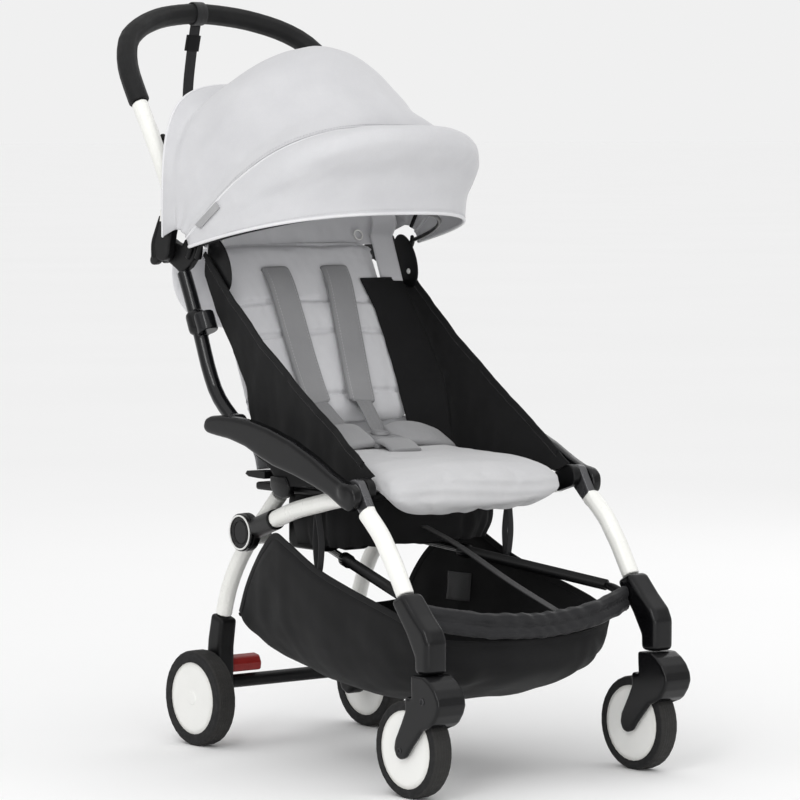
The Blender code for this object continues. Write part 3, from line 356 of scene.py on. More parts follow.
M["roll_cloth"] = fabric("black_roll_cloth", lin(34, 34, 36), lin(18, 18, 20), 900, 0.3, 0.5, sheen=0.08)
M["grey_web"] = webbing("grey_webbing", lin(146, 146, 147), lin(118, 118, 120))
M["black_web"] = webbing("black_webbing", lin(36, 36, 38), lin(18, 18, 19))
M["thread_light"] = fabric("thread_light", lin(206, 206, 208), lin(176, 176, 179), 2600, 0.4, 0.7)
M["black_side"] = fabric("black_side_cloth", lin(26, 26, 27), lin(13, 13, 14), 900, 0.3, 0.9, uv=True, sheen=0.05)
M["thread_black"] = fabric("thread_black", lin(62, 62, 63), lin(38, 38, 39), 2600, 0.4, 0.7)
M["piping_light"] = fabric("piping_light", lin(228, 228, 229), lin(208, 208, 211), 1600, 0.25, 0.7)
M["buckle"] = grained("grey_buckle", lin(150, 150, 151), lin(126, 126, 128), 0.4, 0.55, 1200, 0.12)
M["red"] = painted("red_pedal", lin(156, 32, 28), lin(118, 22, 20), 0.3, 0.48, 0.1)


def dress(names, mat):
    for name in names:
        slots = NODES[name].data.materials
        slots.clear()
        slots.append(mat)


def both(*stems):
    return [s + t for s in stems for t in ("_right", "_left")]


dress(both("link_tube", "front_leg", "rear_leg", "handle_tube"), M["white"])
dress(both("back_tube", "strut_rod"), M["tube_black"])
dress(both("hub", "hub_cap", "strut_sleeve", "rear_lower_leg", "hinge_clamp", "handle_button")
      + ["fold_mechanism", "seat_frame", "release_tab", "rear_crossbar", "canopy_bow_middle", "canopy_bow_front"], M["plastic"])
dress(both("side_arm", "caster_housing", "caster_fork"), M["satin"])
dress(["handle_grip"], M["grip"])
dress(["front_crossbar"], M["roll_cloth"])
dress(["brake_pedal"], M["red"])
for tag, s in SIDES:
    for end, x, y, z, r, rim in (("front", 0.1965, -0.3776, 0.0645, 0.0645, 0.0525), ("rear", 0.1535, 0.1685, 0.0678, 0.0678, 0.0518)):
        c = (s * x, y + DY, z)
        dress([f"{end}_tyre_{tag}"], rubber(f"tyre_rubber_{end}_{tag}", c, r))
        dress([f"{end}_wheel_{tag}"], disc_plastic(f"disc_plastic_{end}_{tag}", c, rim))


# ---------------------------------------------------------------- mesh helpers
def link(name, mesh, mat, smooth=True):
    obj = bpy.data.objects.new(name, mesh)
    bpy.context.scene.collection.objects.link(obj)
    mesh.materials.clear()
    mesh.materials.append(mat)
    if smooth:
        mesh.shade_smooth()
    return obj


def coords(obj):
    co = np.zeros(len(obj.data.vertices) * 3)
    obj.data.vertices.foreach_get("co", co)
    return co.reshape(-1, 3)


def set_coords(obj, co):
    obj.data.vertices.foreach_set("co", np.asarray(co, float).reshape(-1))
    obj.data.update()


def normals(obj):
    obj.data.update()
    n = np.zeros(len(obj.data.vertices) * 3)
    obj.data.vertices.foreach_get("normal", n)
    return n.reshape(-1, 3)


def cad_copy(node, name, mat):
    """A CAD soft solid's shape as a new welded mesh, to be made into the real soft piece."""
    mesh = NODES[node].data.copy()
    bm = bmesh.new()
    bm.from_mesh(mesh)
    bmesh.ops.remove_doubles(bm, verts=bm.verts, dist=1e-5)
    bmesh.ops.recalc_face_normals(bm, faces=bm.faces)
    bm.to_mesh(mesh)
    bm.free()
    return link(name, mesh, mat)


def bake_modifiers(obj):
    dg = bpy.context.evaluated_depsgraph_get()
    new = bpy.data.meshes.new_from_object(obj.evaluated_get(dg))
    obj.modifiers.clear()
    obj.data = new
    return obj


def through(points, count):
    """A smooth curve through the points, sampled evenly in its parameter; works on rows of points too."""
    p = np.asarray(points, float)
    e = np.concatenate([[2 * p[0] - p[1]], p, [2 * p[-1] - p[-2]]])
    t = np.linspace(0, len(p) - 1, count)
    i = np.minimum(t.astype(int), len(p) - 2)
    f = (t - i).reshape((-1,) + (1,) * (p.ndim - 1))
    a, b, c, d = e[i], e[i + 1], e[i + 2], e[i + 3]
    return 0.5 * (2 * b + (c - a) * f + (2 * a - 5 * b + 4 * c - d) * f ** 2 + (3 * b - a - 3 * c + d) * f ** 3)


def even(points, step=None, count=None):
    """The same line with evenly spaced points."""
    p = np.asarray(points, float)
    d = np.concatenate([[0], np.cumsum(np.linalg.norm(np.diff(p, axis=0), axis=1))])
    n = count or max(2, int(round(d[-1] / step)) + 1)
    t = np.linspace(0, d[-1], n)
    return np.stack([np.interp(t, d, p[:, k]) for k in range(3)], 1)


def wander(p, size, seed, octaves=3):
    """Smooth pseudo-random height from -1 to 1, with features of about that size, in metres."""
    rng = np.random.RandomState(seed)
    out, total = np.zeros(len(p)), 0.0
    for o in range(octaves):
        amp = 0.55 ** o
        for _ in range(5):
            k = rng.normal(size=3)
            k = k / np.linalg.norm(k) * TAU / (size * 0.6 ** o) * rng.uniform(0.7, 1.3)
            out += amp * np.sin(p @ k + rng.uniform(0, TAU)) / 5
        total += amp
    return out / total * 2.2


def grid_normals(g):
    du, dv = np.gradient(g, axis=1), np.gradient(g, axis=0)
    n = np.cross(du, dv)
    return n / np.maximum(np.linalg.norm(n, axis=2, keepdims=True), 1e-9)


def grid(name, g, mat, thick=0.0, offset=0.0, closed=False, flip=False):
    """A sheet from a grid of points, with UV in metres along it."""
    n, m, _ = g.shape
    faces = []
    for i in range(n - 1):
        for j in range(m if closed else m - 1):
            k = (j + 1) % m
            q = (i * m + j, i * m + k, (i + 1) * m + k, (i + 1) * m + j)
            faces.append(q[::-1] if flip else q)
    mesh = bpy.data.meshes.new(name)
    mesh.from_pydata([tuple(v) for v in g.reshape(-1, 3)], [], faces)
    u = np.concatenate([np.zeros((n, 1)), np.cumsum(np.linalg.norm(np.diff(g, axis=1), axis=2), axis=1)], axis=1)
    u = u - u[:, m // 2][:, None]
    v = np.concatenate([np.zeros((1, m)), np.cumsum(np.linalg.norm(np.diff(g, axis=0), axis=2), axis=0)], axis=0)
    v = np.repeat(v.mean(1)[:, None], m, 1)
    uv = np.stack([u.reshape(-1), v.reshape(-1)], 1)
    layer = mesh.uv_layers.new(name="UVMap")
    loops = np.zeros(len(mesh.loops), int)
    mesh.loops.foreach_get("vertex_index", loops)
    layer.data.foreach_set("uv", uv[loops].reshape(-1))
    obj = link(name, mesh, mat)
    if thick:
        s = obj.modifiers.new("cloth", "SOLIDIFY")
        s.thickness = thick
        s.offset = offset
        s.use_even_offset = False
    return obj


def frames_along(p, up_hint=(0, 0, 1)):
    t = np.gradient(p, axis=0)
    t /= np.maximum(np.linalg.norm(t, axis=1, keepdims=True), 1e-12)
    n = np.array(up_hint, float) - t[0] * (t[0] @ np.array(up_hint, float))
    if np.linalg.norm(n) < 1e-6:
        n = np.cross(t[0], (1, 0, 0))
    n /= np.linalg.norm(n)
    out = []
    for k in range(len(p)):
        n = n - t[k] * (t[k] @ n)
        n /= np.linalg.norm(n)
        out.append(n)
    n = np.array(out)
    return t, n, np.cross(t, n)


def pipe(name, points, radius, mat, sides=10, closed=False, radii=None):
    """A round tube along a line, with rounded ends."""
    p = np.asarray(points, float)
    t, n, b = frames_along(p)
    r = np.full(len(p), radius) if radii is None else np.asarray(radii, float)
    a = np.arange(sides) * TAU / sides
    ring = np.cos(a)[None, :, None] * n[:, None, :] + np.sin(a)[None, :, None] * b[:, None, :]
    g = p[:, None, :] + ring * r[:, None, None]
    verts = [tuple(v) for v in g.reshape(-1, 3)]
    faces = []
    m = len(p)
    for i in range(m if closed else m - 1):
        k = (i + 1) % m
        for j in range(sides):
            l = (j + 1) % sides
            faces.append((i * sides + j, i * sides + l, k * sides + l, k * sides + j))
    if not closed:
        for end, at, way in ((0, p[0], -1), (m - 1, p[-1], 1)):
            inner = []
            for j in range(sides):
                verts.append(tuple(at + ring[end, j] * r[end] * 0.55 + t[end] * way * r[end] * 0.45))
                inner.append(len(verts) - 1)
            tip = len(verts)
            verts.append(tuple(at + t[end] * way * r[end] * 0.6))
            for j in range(sides):
                l = (j + 1) % sides
                quad = (end * sides + j, inner[j], inner[l], end * sides + l)
                tri = (inner[j], tip, inner[l])
                faces.append(quad if way > 0 else quad[::-1])
                faces.append(tri if way > 0 else tri[::-1])
    mesh = bpy.data.meshes.new(name)
    mesh.from_pydata(verts, [], faces)
    bm = bmesh.new()
    bm.from_mesh(mesh)
    bmesh.ops.recalc_face_normals(bm, faces=bm.faces)
    bm.to_mesh(mesh)
    bm.free()
    return link(name, mesh, mat)


def band(name, points, across, width, thick, mat, crown=0.0, round_to=None, profile=None):
    """A strap or sleeve along a line: width along the across vectors, thick the other way, with rounded edges."""
    p = np.asarray(points, float)
    t = np.gradient(p, axis=0)
    t /= np.linalg.norm(t, axis=1, keepdims=True)
    w = np.asarray(across, float)
    w = np.repeat(w[None], len(p), 0) if w.ndim == 1 else w
    w = w - t * (w * t).sum(1, keepdims=True)
    w /= np.linalg.norm(w, axis=1, keepdims=True)
    n = np.cross(w, t)
    width = np.full(len(p), width) if np.isscalar(width) else np.asarray(width)
    thick = np.full(len(p), thick) if np.isscalar(thick) else np.asarray(thick)
    k = 24
    a = (np.arange(k) + 0.5) * TAU / k
    e = 0.32
    cx = np.sign(np.cos(a)) * np.abs(np.cos(a)) ** e
    cz = np.sign(np.sin(a)) * np.abs(np.sin(a)) ** (0.75 if crown else e)
    g = (p[:, None] + w[:, None] * (cx[None, :] * width[:, None] / 2)[..., None]
         + n[:, None] * (cz[None, :] * thick[:, None] / 2)[..., None])
    m = len(p)
    verts = [tuple(v) for v in g.reshape(-1, 3)]
    faces = [(i * k + j, i * k + (j + 1) % k, (i + 1) * k + (j + 1) % k, (i + 1) * k + j) for i in range(m - 1) for j in range(k)]
    faces += [tuple(range(k))[::-1], tuple((m - 1) * k + j for j in range(k))]
    mesh = bpy.data.meshes.new(name)
    mesh.from_pydata(verts, [], faces)
    run = np.concatenate([[0], np.cumsum(np.linalg.norm(np.diff(p, axis=0), axis=1))])
    uv = np.zeros((len(verts), 2))
    uv[:, 0] = np.repeat(run, k)
    uv[:, 1] = (cx[None, :] * width[:, None] / 2).reshape(-1)
    layer = mesh.uv_layers.new(name="UVMap")
    loops = np.zeros(len(mesh.loops), int)
    mesh.loops.foreach_get("vertex_index", loops)
    layer.data.foreach_set("uv", uv[loops].reshape(-1))
    bm = bmesh.new()
    bm.from_mesh(mesh)
    bmesh.ops.recalc_face_normals(bm, faces=bm.faces)
    bm.to_mesh(mesh)
    bm.free()
    obj = link(name, mesh, mat)
    return obj


def stitches(name, points, out, mat, pitch=0.0042, length=0.0029, radius=0.00042, lift=0.0002):
    """A row of sewn stitches along a line, each a small capsule half sunk in the cloth."""
    p = even(points, step=pitch)
    t = np.gradient(p, axis=0)
    t /= np.linalg.norm(t, axis=1, keepdims=True)
    o = np.asarray(out, float)
    if o.ndim == 1:
        o = np.repeat(o[None], len(p), 0)
    elif len(o) != len(p):
        k = np.linspace(0, len(o) - 1, len(p))
        o = np.stack([np.interp(k, np.arange(len(o)), o[:, c]) for c in range(3)], 1)
    o = o - t * (o * t).sum(1, keepdims=True)
    o /= np.maximum(np.linalg.norm(o, axis=1, keepdims=True), 1e-9)
    b = np.cross(t, o)
    verts, faces = [], []
    for c, tt, oo, bb in zip(p + o * lift, t, o, b):
        base = len(verts)
        for along, r in ((-0.5, 0.35), (-0.3, 0.9), (0, 1.0), (0.3, 0.9), (0.5, 0.35)):
            for q in range(5):
                ang = q * TAU / 5
                v = c + tt * along * length + (oo * math.cos(ang) + bb * math.sin(ang)) * radius * r - oo * radius * (abs(along) * 1.2)
                verts.append(tuple(v))
        for i in range(4):
            for j in range(5):
                l = (j + 1) % 5
                faces.append((base + i * 5 + j, base + i * 5 + l, base + (i + 1) * 5 + l, base + (i + 1) * 5 + j))
        faces.append(tuple(base + q for q in range(5))[::-1])
        faces.append(tuple(base + 20 + q for q in range(5)))
    mesh = bpy.data.meshes.new(name)
    mesh.from_pydata(verts, [], faces)
    return link(name, mesh, mat)


def lathe(name, profile, centre, axis_x, mat, steps=48):
    """A turned piece about the X direction: profile of (distance out along X, radius)."""
    verts, faces = [], []
    for u, r in profile:
        for k in range(steps):
            a = k * TAU / steps
            verts.append((centre[0] + axis_x * u, centre[1] + r * math.cos(a), centre[2] + r * math.sin(a)))
    n = len(profile)
    for i in range(n - 1):
        for k in range(steps):
            l = (k + 1) % steps
            faces.append((i * steps + k, i * steps + l, (i + 1) * steps + l, (i + 1) * steps + k))
    if profile[0][1] > 1e-6:
        faces.append(tuple(range(steps)))
    if profile[-1][1] > 1e-6:
        faces.append(tuple((n - 1) * steps + k for k in range(steps))[::-1])
    mesh = bpy.data.meshes.new(name)
    mesh.from_pydata(verts, [], faces)
    bm = bmesh.new()
    bm.from_mesh(mesh)
    bmesh.ops.remove_doubles(bm, verts=bm.verts, dist=1e-6)
    bmesh.ops.recalc_face_normals(bm, faces=bm.faces)
    bm.to_mesh(mesh)
    bm.free()
    obj = link(name, mesh, mat)
    mesh.set_sharp_from_angle(angle=math.radians(35))
    return obj


def cage(name, rings, mat, levels=2):
    """A soft closed form from a coarse cage of rings."""
    mesh = bpy.data.meshes.new(name)
    bm = bmesh.new()
    made = [[bm.verts.new(p) for p in ring] for ring in rings]
    n = len(made[0])
    for i in range(len(made) - 1):
        for j in range(n):
            bm.faces.new((made[i][j], made[i][(j + 1) % n], made[i + 1][(j + 1) % n], made[i + 1][j]))
    bm.faces.new(made[0][::-1])
    bm.faces.new(made[-1])
    bmesh.ops.recalc_face_normals(bm, faces=bm.faces)
    bm.to_mesh(mesh)
    bm.free()
    obj = link(name, mesh, mat)
    s = obj.modifiers.new("soft", "SUBSURF")
    s.levels = s.render_levels = levels
    return bake_modifiers(obj)


def puff(obj, voxel=0.005, pressure=4.0, cap=0.008, shrink=0.002, frames=20, levels=1):
    """Fills a pad with air as cloth, then keeps the result. Each point moves by at most cap."""
    mat = obj.data.materials[0]
    if shrink:
        set_coords(obj, coords(obj) - normals(obj) * shrink)
    r = obj.modifiers.new("even", "REMESH")
    r.mode = "VOXEL"
    r.voxel_size = voxel
    bake_modifiers(obj)
    rest = coords(obj)
    c = obj.modifiers.new("fill", "CLOTH")
    c.settings.quality = 5
    c.settings.mass = 0.3
    c.settings.use_pressure = True
    c.settings.uniform_pressure_force = pressure
    c.settings.effector_weights.gravity = 0
    c.collision_settings.use_collision = False
    c.point_cache.frame_start, c.point_cache.frame_end = 1, frames
    for f in range(1, frames + 1):
        bpy.context.scene.frame_set(f)
    dg = bpy.context.evaluated_depsgraph_get()
    ev = obj.evaluated_get(dg)
    new = np.zeros(len(ev.data.vertices) * 3)
    ev.data.vertices.foreach_get("co", new)
    move = new.reshape(-1, 3) - rest
    size = np.linalg.norm(move, axis=1, keepdims=True)
    obj.modifiers.clear()
    set_coords(obj, rest + move * np.minimum(1, cap / np.maximum(size, 1e-9)))
    bpy.context.scene.frame_set(1)
    if levels:
        s = obj.modifiers.new("soft", "SUBSURF")
        s.levels = s.render_levels = levels
        bake_modifiers(obj)
    obj.data.materials.clear()
    obj.data.materials.append(mat)
    obj.data.shade_smooth()
    return obj


def ride(body, *objs):
    for o in objs:
        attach(o, body)


# ---------------------------------------------------------------- rounded skins of the hard parts
def skin(node, mat, voxel=0.0013, iters=10, ends=None, second=None):
    """The part's own shape with its turned and blended edges run smooth."""
    obj = cad_copy(node, node + "_skin", mat)
    if voxel:
        m = obj.modifiers.new("v", "REMESH")
        m.mode = "VOXEL"
        m.voxel_size = voxel
        m = obj.modifiers.new("s", "SMOOTH")
        m.factor = 0.5
        m.iterations = iters
        bake_modifiers(obj)
        obj.data.shade_smooth()
    else:
        obj.data.shade_smooth()
        obj.data.set_sharp_from_angle(angle=math.radians(34))
    if ends:
        obj.data.materials.append(second)
        for poly in obj.data.polygons:
            c = poly.center
            if ends(c.x, c.y - DY, c.z):
                poly.material_index = 1
    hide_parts(node)
    ride(BODY_OF[node], obj)
    return obj


J, P_HINGE = (-0.252, 0.396), (0.030, 0.468)
BODY_OF = {}
for body, stems in (("chassis", ("link_tube", "hub", "side_arm")), ("front_legs", ("front_leg", "caster_housing")),
                    ("rear_legs", ("rear_leg", "rear_lower_leg")), ("back_frame", ("back_tube", "hinge_clamp")), ("handlebar", ("handle_tube",))):
    for stem in stems:
        for node in both(stem):
            BODY_OF[node] = body
for tag, s in SIDES:
    BODY_OF["caster_fork_" + tag] = "caster_" + tag
    BODY_OF["strut_rod_" + tag] = "chassis"
    BODY_OF["strut_sleeve_" + tag] = "strut_" + tag
BODY_OF.update({"fold_mechanism": "chassis", "handle_grip": "handlebar", "front_crossbar": "front_legs", "rear_crossbar": "rear_legs"})


def near_j(radius):
    return lambda x, y, z: math.hypot(y - J[0], z - J[1]) < radius


for tag, s in SIDES:
    skin(f"link_tube_{tag}", M["white"], ends=near_j(0.031), second=M["plastic"])
    skin(f"front_leg_{tag}", M["white"], ends=near_j(0.036), second=M["collar"])
    skin(f"rear_leg_{tag}", M["white"])
    skin(f"handle_tube_{tag}", M["white"], ends=lambda x, y, z: z < 0.7450, second=M["plastic"])
    skin(f"back_tube_{tag}", M["tube_black"])
    skin(f"side_arm_{tag}", M["satin"], 0.0014, 64)
    skin(f"caster_housing_{tag}", M["satin"], 0.0014, 34)
    skin(f"caster_fork_{tag}", M["satin"], 0.0011, 20)
    skin(f"hub_{tag}", M["plastic"], 0.0011, 5)
    skin(f"hinge_clamp_{tag}", M["plastic"], 0.0011, 6)
    skin(f"rear_lower_leg_{tag}", M["plastic"], 0.0012, 8)
    skin(f"strut_rod_{tag}", M["tube_black"], 0)
    skin(f"strut_sleeve_{tag}", M["plastic"], 0)
skin("fold_mechanism", M["plastic"], 0.0018, 8)
grip_skin = skin("handle_grip", M["grip"], 0.0015, 12)
skin("rear_crossbar", M["plastic"], 0.0013, 8)
roll = skin("front_crossbar", M["roll_cloth"], 0.0013, 6)
co, n = coords(roll), normals(roll)
pleat = np.sin(co[:, 0] * 190 + co[:, 2] * 260 + 5 * np.sin(co[:, 0] * 23)) * np.clip(1 - np.abs(co[:, 0]) / 0.165, 0, 1) ** 0.3
set_coords(roll, co + n * (pleat * 0.0005 + wander(co, 0.03, 91) * 0.0010 - 0.0006)[:, None])

# ---------------------------------------------------------------- hood
KC = (0.150, 0.705)
HOOD_HALF = 0.2040
RIBS = [(100, 0.2300, 2.9), (94, 0.2500, 2.5), (88, 0.2720, 2.15), (81, 0.2890, 1.95), (74, 0.2945, 1.88),
        (66, 0.2895, 1.85), (58, 0.2838, 1.85), (50, 0.2812, 1.90), (44, 0.2795, 2.3), (40.5, 0.2778, 2.75),
        (38.4, 0.2765, 3.1)]
VISOR = [(37.9, 0.2775, 3.0), (35, 0.306, 2.8), (31.5, 0.331, 2.6), (28.5, 0.328, 2.6), (26, 0.309, 2.6),
         (23, 0.281, 2.6), (19, 0.264, 2.6), (15.5, 0.255, 2.6), (12.5, 0.250, 2.6)]
ACROSS = 121


def spread(count):
    """Parameters along a bow, packed closer near its feet, where it turns fast."""
    t = np.linspace(0, 1, count)
    return math.pi * (t - 0.045 * np.sin(TAU * t))


def rib(phi, reach, power, half=HOOD_HALF, count=ACROSS, start=0.030):
    t = spread(count)
    c, sn = np.cos(t), np.maximum(np.sin(t), 0)
    x = half * np.sign(c) * np.abs(c) ** (2 / power)
    r = start + (reach - start) * sn ** (2 / power)
    a = math.radians(phi)
    return np.stack([x, KC[0] - r * math.cos(a), KC[1] + r * math.sin(a)], 1)


def rear_rib(height=0.9385, bulge=0.0435, power=4.1, half=HOOD_HALF, count=ACROSS):
    t = spread(count)
    c, sn = np.cos(t), np.maximum(np.sin(t), 0)
    x = half * np.sign(c) * np.abs(c) ** (2 / power)
    return np.stack([x, 0.1850 + bulge * (1 - (x / half) ** 2), 0.7240 + (height - 0.7240) * sn ** (2 / power)], 1)


def soften(g, amount, size, seed, edge=0.0):
    """Small cloth waves along the normals, fading out at the sewn edges."""
    n = grid_normals(g)
    h = wander(g.reshape(-1, 3), size, seed).reshape(g.shape[:2])
    i = np.minimum(np.arange(g.shape[0]), np.arange(g.shape[0])[::-1])[:, None]
    j = np.minimum(np.arange(g.shape[1]), np.arange(g.shape[1])[::-1])[None, :]
    fade = np.clip(i / 5, edge, 1) * np.clip(j / 6, edge, 1)
    return g + n * (h * amount * fade)[..., None]


def build_hood():
    rows = np.array([rear_rib()] + [rib(*r) for r in RIBS])
    g = through(rows, 96)
    g[:, :, 1] += DY
    g = soften(g, 0.0011, 0.075, 3)
    # creases that run from the pivots up over the shoulders, pulled by the bows
    n = grid_normals(g)
    i = np.linspace(0, 1, g.shape[0])[:, None]
    j = np.linspace(-1, 1, g.shape[1])[None, :]
    foot = np.exp(-((1 - np.abs(j)) / 0.10) ** 2)
    folds = np.sin(i * TAU * 3.5 + 1.2 * np.sign(j)) * foot * np.sin(math.pi * i) ** 0.5
    g = g + n * (folds * 0.0016)[..., None]
    hood = grid("hood_cloth", g, M["hood"], 0.0014, 0.0)
    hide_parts("canopy_hood")
    bound = pipe("hood_rear_binding", even(g[0], count=150), 0.0019, M["piping_light"], 8)
    seam = g[-5]
    nn = grid_normals(g)[-5]
    rows_of = [stitches("hood_seam_stitches_a", g[-3], grid_normals(g)[-3], M["thread_light"], 0.0046, 0.0032, 0.0004),
               stitches("hood_seam_stitches_b", g[-6], grid_normals(g)[-6], M["thread_light"], 0.0046, 0.0032, 0.0004)]
    return hood, [bound], rows_of, g


def build_visor():
    rows = np.array([rib(*r) for r in VISOR])
    g = through(rows, 80)
    g[:, :, 1] += DY
    g = soften(g, 0.0009, 0.06, 8)
    visor = grid("visor_cloth", g, M["hood"], 0.0014, 0.0)
    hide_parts("canopy_visor")
    n = grid_normals(g)
    hem = pipe("visor_hem_piping", even(g[-1], count=170), 0.0024, M["piping_light"], 10)
    fold = pipe("visor_seam_piping", even(g[1] + n[1] * 0.0006, count=170), 0.0015, M["piping_light"], 8)
    sew = [stitches("visor_hem_stitches", g[-5], n[-5], M["thread_light"], 0.0046, 0.0032, 0.0004)]
    return visor, [hem, fold], sew, g


hood, hood_trim, hood_sewing, hood_grid = build_hood()
visor, visor_trim, visor_sewing, visor_grid = build_visor()


def out_of(g):
    """Which way the grid's own normals point: 1 away from the hood's middle, else -1."""
    n = grid_normals(g)[g.shape[0] // 2, g.shape[1] // 2]
    return 1 if n @ (g[g.shape[0] // 2, g.shape[1] // 2] - np.array(W(0, KC[0], KC[1]))) > 0 else -1


# stitches sit on the outer face
for o, g, rows in ((hood_sewing, hood_grid, (-3, -6)), (visor_sewing, visor_grid, (-5,))):
    way = out_of(g)
    for piece, row in zip(o, rows):
        n = grid_normals(g)[row]
        co = coords(piece)
        line = g[row]
        near = np.argmin(((co[:, None, :] - line[None, ::2]) ** 2).sum(2), axis=1) * 2
        near = np.minimum(near, len(line) - 1)
        set_coords(piece, co + n[near] * way * 0.0009)

ride("hood_rear", hood, *hood_trim, *hood_sewing)
# the visor's rear edge is sewn to the hood and its hem to the front bow, so it rides neither; its placement is baked
# into its mesh
for piece in (visor, *visor_trim, *visor_sewing):
    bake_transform(piece)


def patch_on(name, g, i0, j0, i1, j1, mat, lift, body, thick=0.0008, pillow=0.0):
    """A piece of cloth sewn on a sheet: a sub-grid of it, lifted along its normals."""
    n = grid_normals(g) * out_of(g)
    sub = g[i0:i1, j0:j1] + n[i0:i1, j0:j1] * lift
    obj = grid(name, sub, mat, thick, 0.0)
    ride(body, obj)
    return obj




# ---------------------------------------------------------------- seat back, curtain and rear pocket
BACK_LO, BACK_HI = Vector((0, 0.0560, 0.4480)), Vector((0, 0.1640, 0.7200))
UP = (BACK_HI - BACK_LO).normalized()
OUT = Vector((0, -UP.z, UP.y))
LEN = (BACK_HI - BACK_LO).length
SEAMS = (0.0495, 0.1411, 0.1894, 0.2787)


def back_ring(along, front, behind, half):
    base = BACK_LO + UP * along
    f, b = base + OUT * front, base - OUT * behind
    mid = (f + b) / 2
    return [W(-half, mid.y, mid.z), W(-half * 0.86, b.y, b.z), W(0, b.y, b.z), W(half * 0.86, b.y, b.z),
            W(half, mid.y, mid.z), W(half * 0.86, f.y, f.z), W(0, f.y, f.z), W(-half * 0.86, f.y, f.z)]


def build_back():
    pad = cage("seat_back_pad", [back_ring(0.0, 0.006, 0.006, 0.140), back_ring(0.012, 0.014, 0.010, 0.1560),
                                 back_ring(LEN * 0.35, 0.016, 0.012, 0.1600), back_ring(LEN * 0.7, 0.016, 0.012, 0.1600),
                                 back_ring(LEN - 0.012, 0.012, 0.010, 0.1590), back_ring(LEN + 0.002, 0.004, 0.004, 0.150)], M["pad"], 2)
    puff(pad, 0.005, 4.0, 0.006, 0.002)
    co, n = coords(pad), normals(pad)
    rel = co - np.array(W(*BACK_LO))
    along, out = rel @ np.array(UP), np.array(OUT)
    facing = np.clip(n @ out, 0, 1)
    depth = np.zeros(len(co))
    for k, s in enumerate(SEAMS):
        line = s + 0.0025 * np.sin(co[:, 0] * 21 + k)
        d = along - line
        depth += np.exp(-(d / 0.0034) ** 2) * 0.0050
        pull = np.exp(-(np.abs(d) / 0.014) ** 1.5) * np.sin(co[:, 0] * 310 + 3 * np.sin(co[:, 0] * 47 + k * 2)) * 0.0006
        depth -= pull
    co = co - out * (depth * facing)[:, None]
    co = co + n * (wander(co, 0.05, 5) * 0.0009 * facing)[:, None]
    set_coords(pad, co)
    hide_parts("seat_back")
    rows = []
    sew = []
    xs = np.linspace(-0.146, 0.146, 60)
    for k, s in enumerate(SEAMS):
        line = np.array([W(x, *(BACK_LO + UP * (s + 0.0025 * math.sin(x * 21 + k)) + OUT * 0.0)[1:]) for x in xs])
        # onto the pad's face
        ok, pts = [], []
        for p in line:
            hit, at, nn, _ = pad.ray_cast(Vector(p) + OUT * 0.06, -OUT)
            if hit:
                pts.append(np.array(at))
        if len(pts) > 5:
            sew.append(stitches(f"seat_back_stitches_{k}", np.array(pts), np.array(OUT), M["thread_light"], 0.0046, 0.0032, 0.0004))
    return pad, sew


back_pad, back_sewing = build_back()
ride("back_frame", back_pad, *back_sewing)


def build_curtain():
    rows = []
    for z, ym, ys, half in ((0.7080, 0.1600, 0.1600, 0.150), (0.7260, 0.1680, 0.1665, 0.1600), (0.7480, 0.1775, 0.1740, 0.1620),
                            (0.7900, 0.1925, 0.1805, 0.1620), (0.8400, 0.2075, 0.1865, 0.1605), (0.8850, 0.2155, 0.1900, 0.1560),
                            (0.9060, 0.2190, 0.1920, 0.1390), (0.9215, 0.2198, 0.1950, 0.1020)):
        x = np.linspace(-1, 1, 61)
        rows.append(np.stack([x * half, ym + (ys - ym) * np.abs(x) ** 2.2, np.full(61, z)], 1))
    g = through(np.array(rows), 60)
    g[:, :, 1] += DY
    h = wander(g.reshape(-1, 3) * np.array([1, 1, 0.35]), 0.045, 12).reshape(g.shape[:2])
    g = g + grid_normals(g) * (h * 0.0014)[..., None]
    cloth = grid("hood_rear_curtain", g, M["liner"], 0.0012, 0.0)
    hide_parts("seat_back")
    return cloth, g


curtain, curtain_grid = build_curtain()
ride("back_frame", curtain)


def build_pocket():
    pocket = cad_copy("backrest_pocket", "rear_pocket", M["pocket"])
    s = pocket.modifiers.new("soft", "SUBSURF")
    s.levels = s.render_levels = 1
    bake_modifiers(pocket)
    puff(pocket, 0.005, 3.0, 0.006, 0.003)
    co, n = coords(pocket), normals(pocket)
    lo, hi = co.min(0), co.max(0)
    up = (co[:, 2] - lo[2]) / (hi[2] - lo[2])
    rear = np.clip(n[:, 1], 0, 1)
    gather = np.sin(co[:, 0] * 260 + 4 * np.sin(co[:, 0] * 31)) * np.exp(-((1 - up) / 0.16) ** 2) * 0.0012
    sag = wander(co * np.array([1, 1, 0.5]), 0.06, 21) * 0.0016
    seam = -np.exp(-((co[:, 2] - (hi[2] - 0.014)) / 0.0022) ** 2) * 0.0014
    set_coords(pocket, co + n * ((gather + sag + seam) * (0.25 + 0.75 * rear))[:, None])
    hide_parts("backrest_pocket")
    return pocket


pocket = build_pocket()
ride("back_frame", pocket)


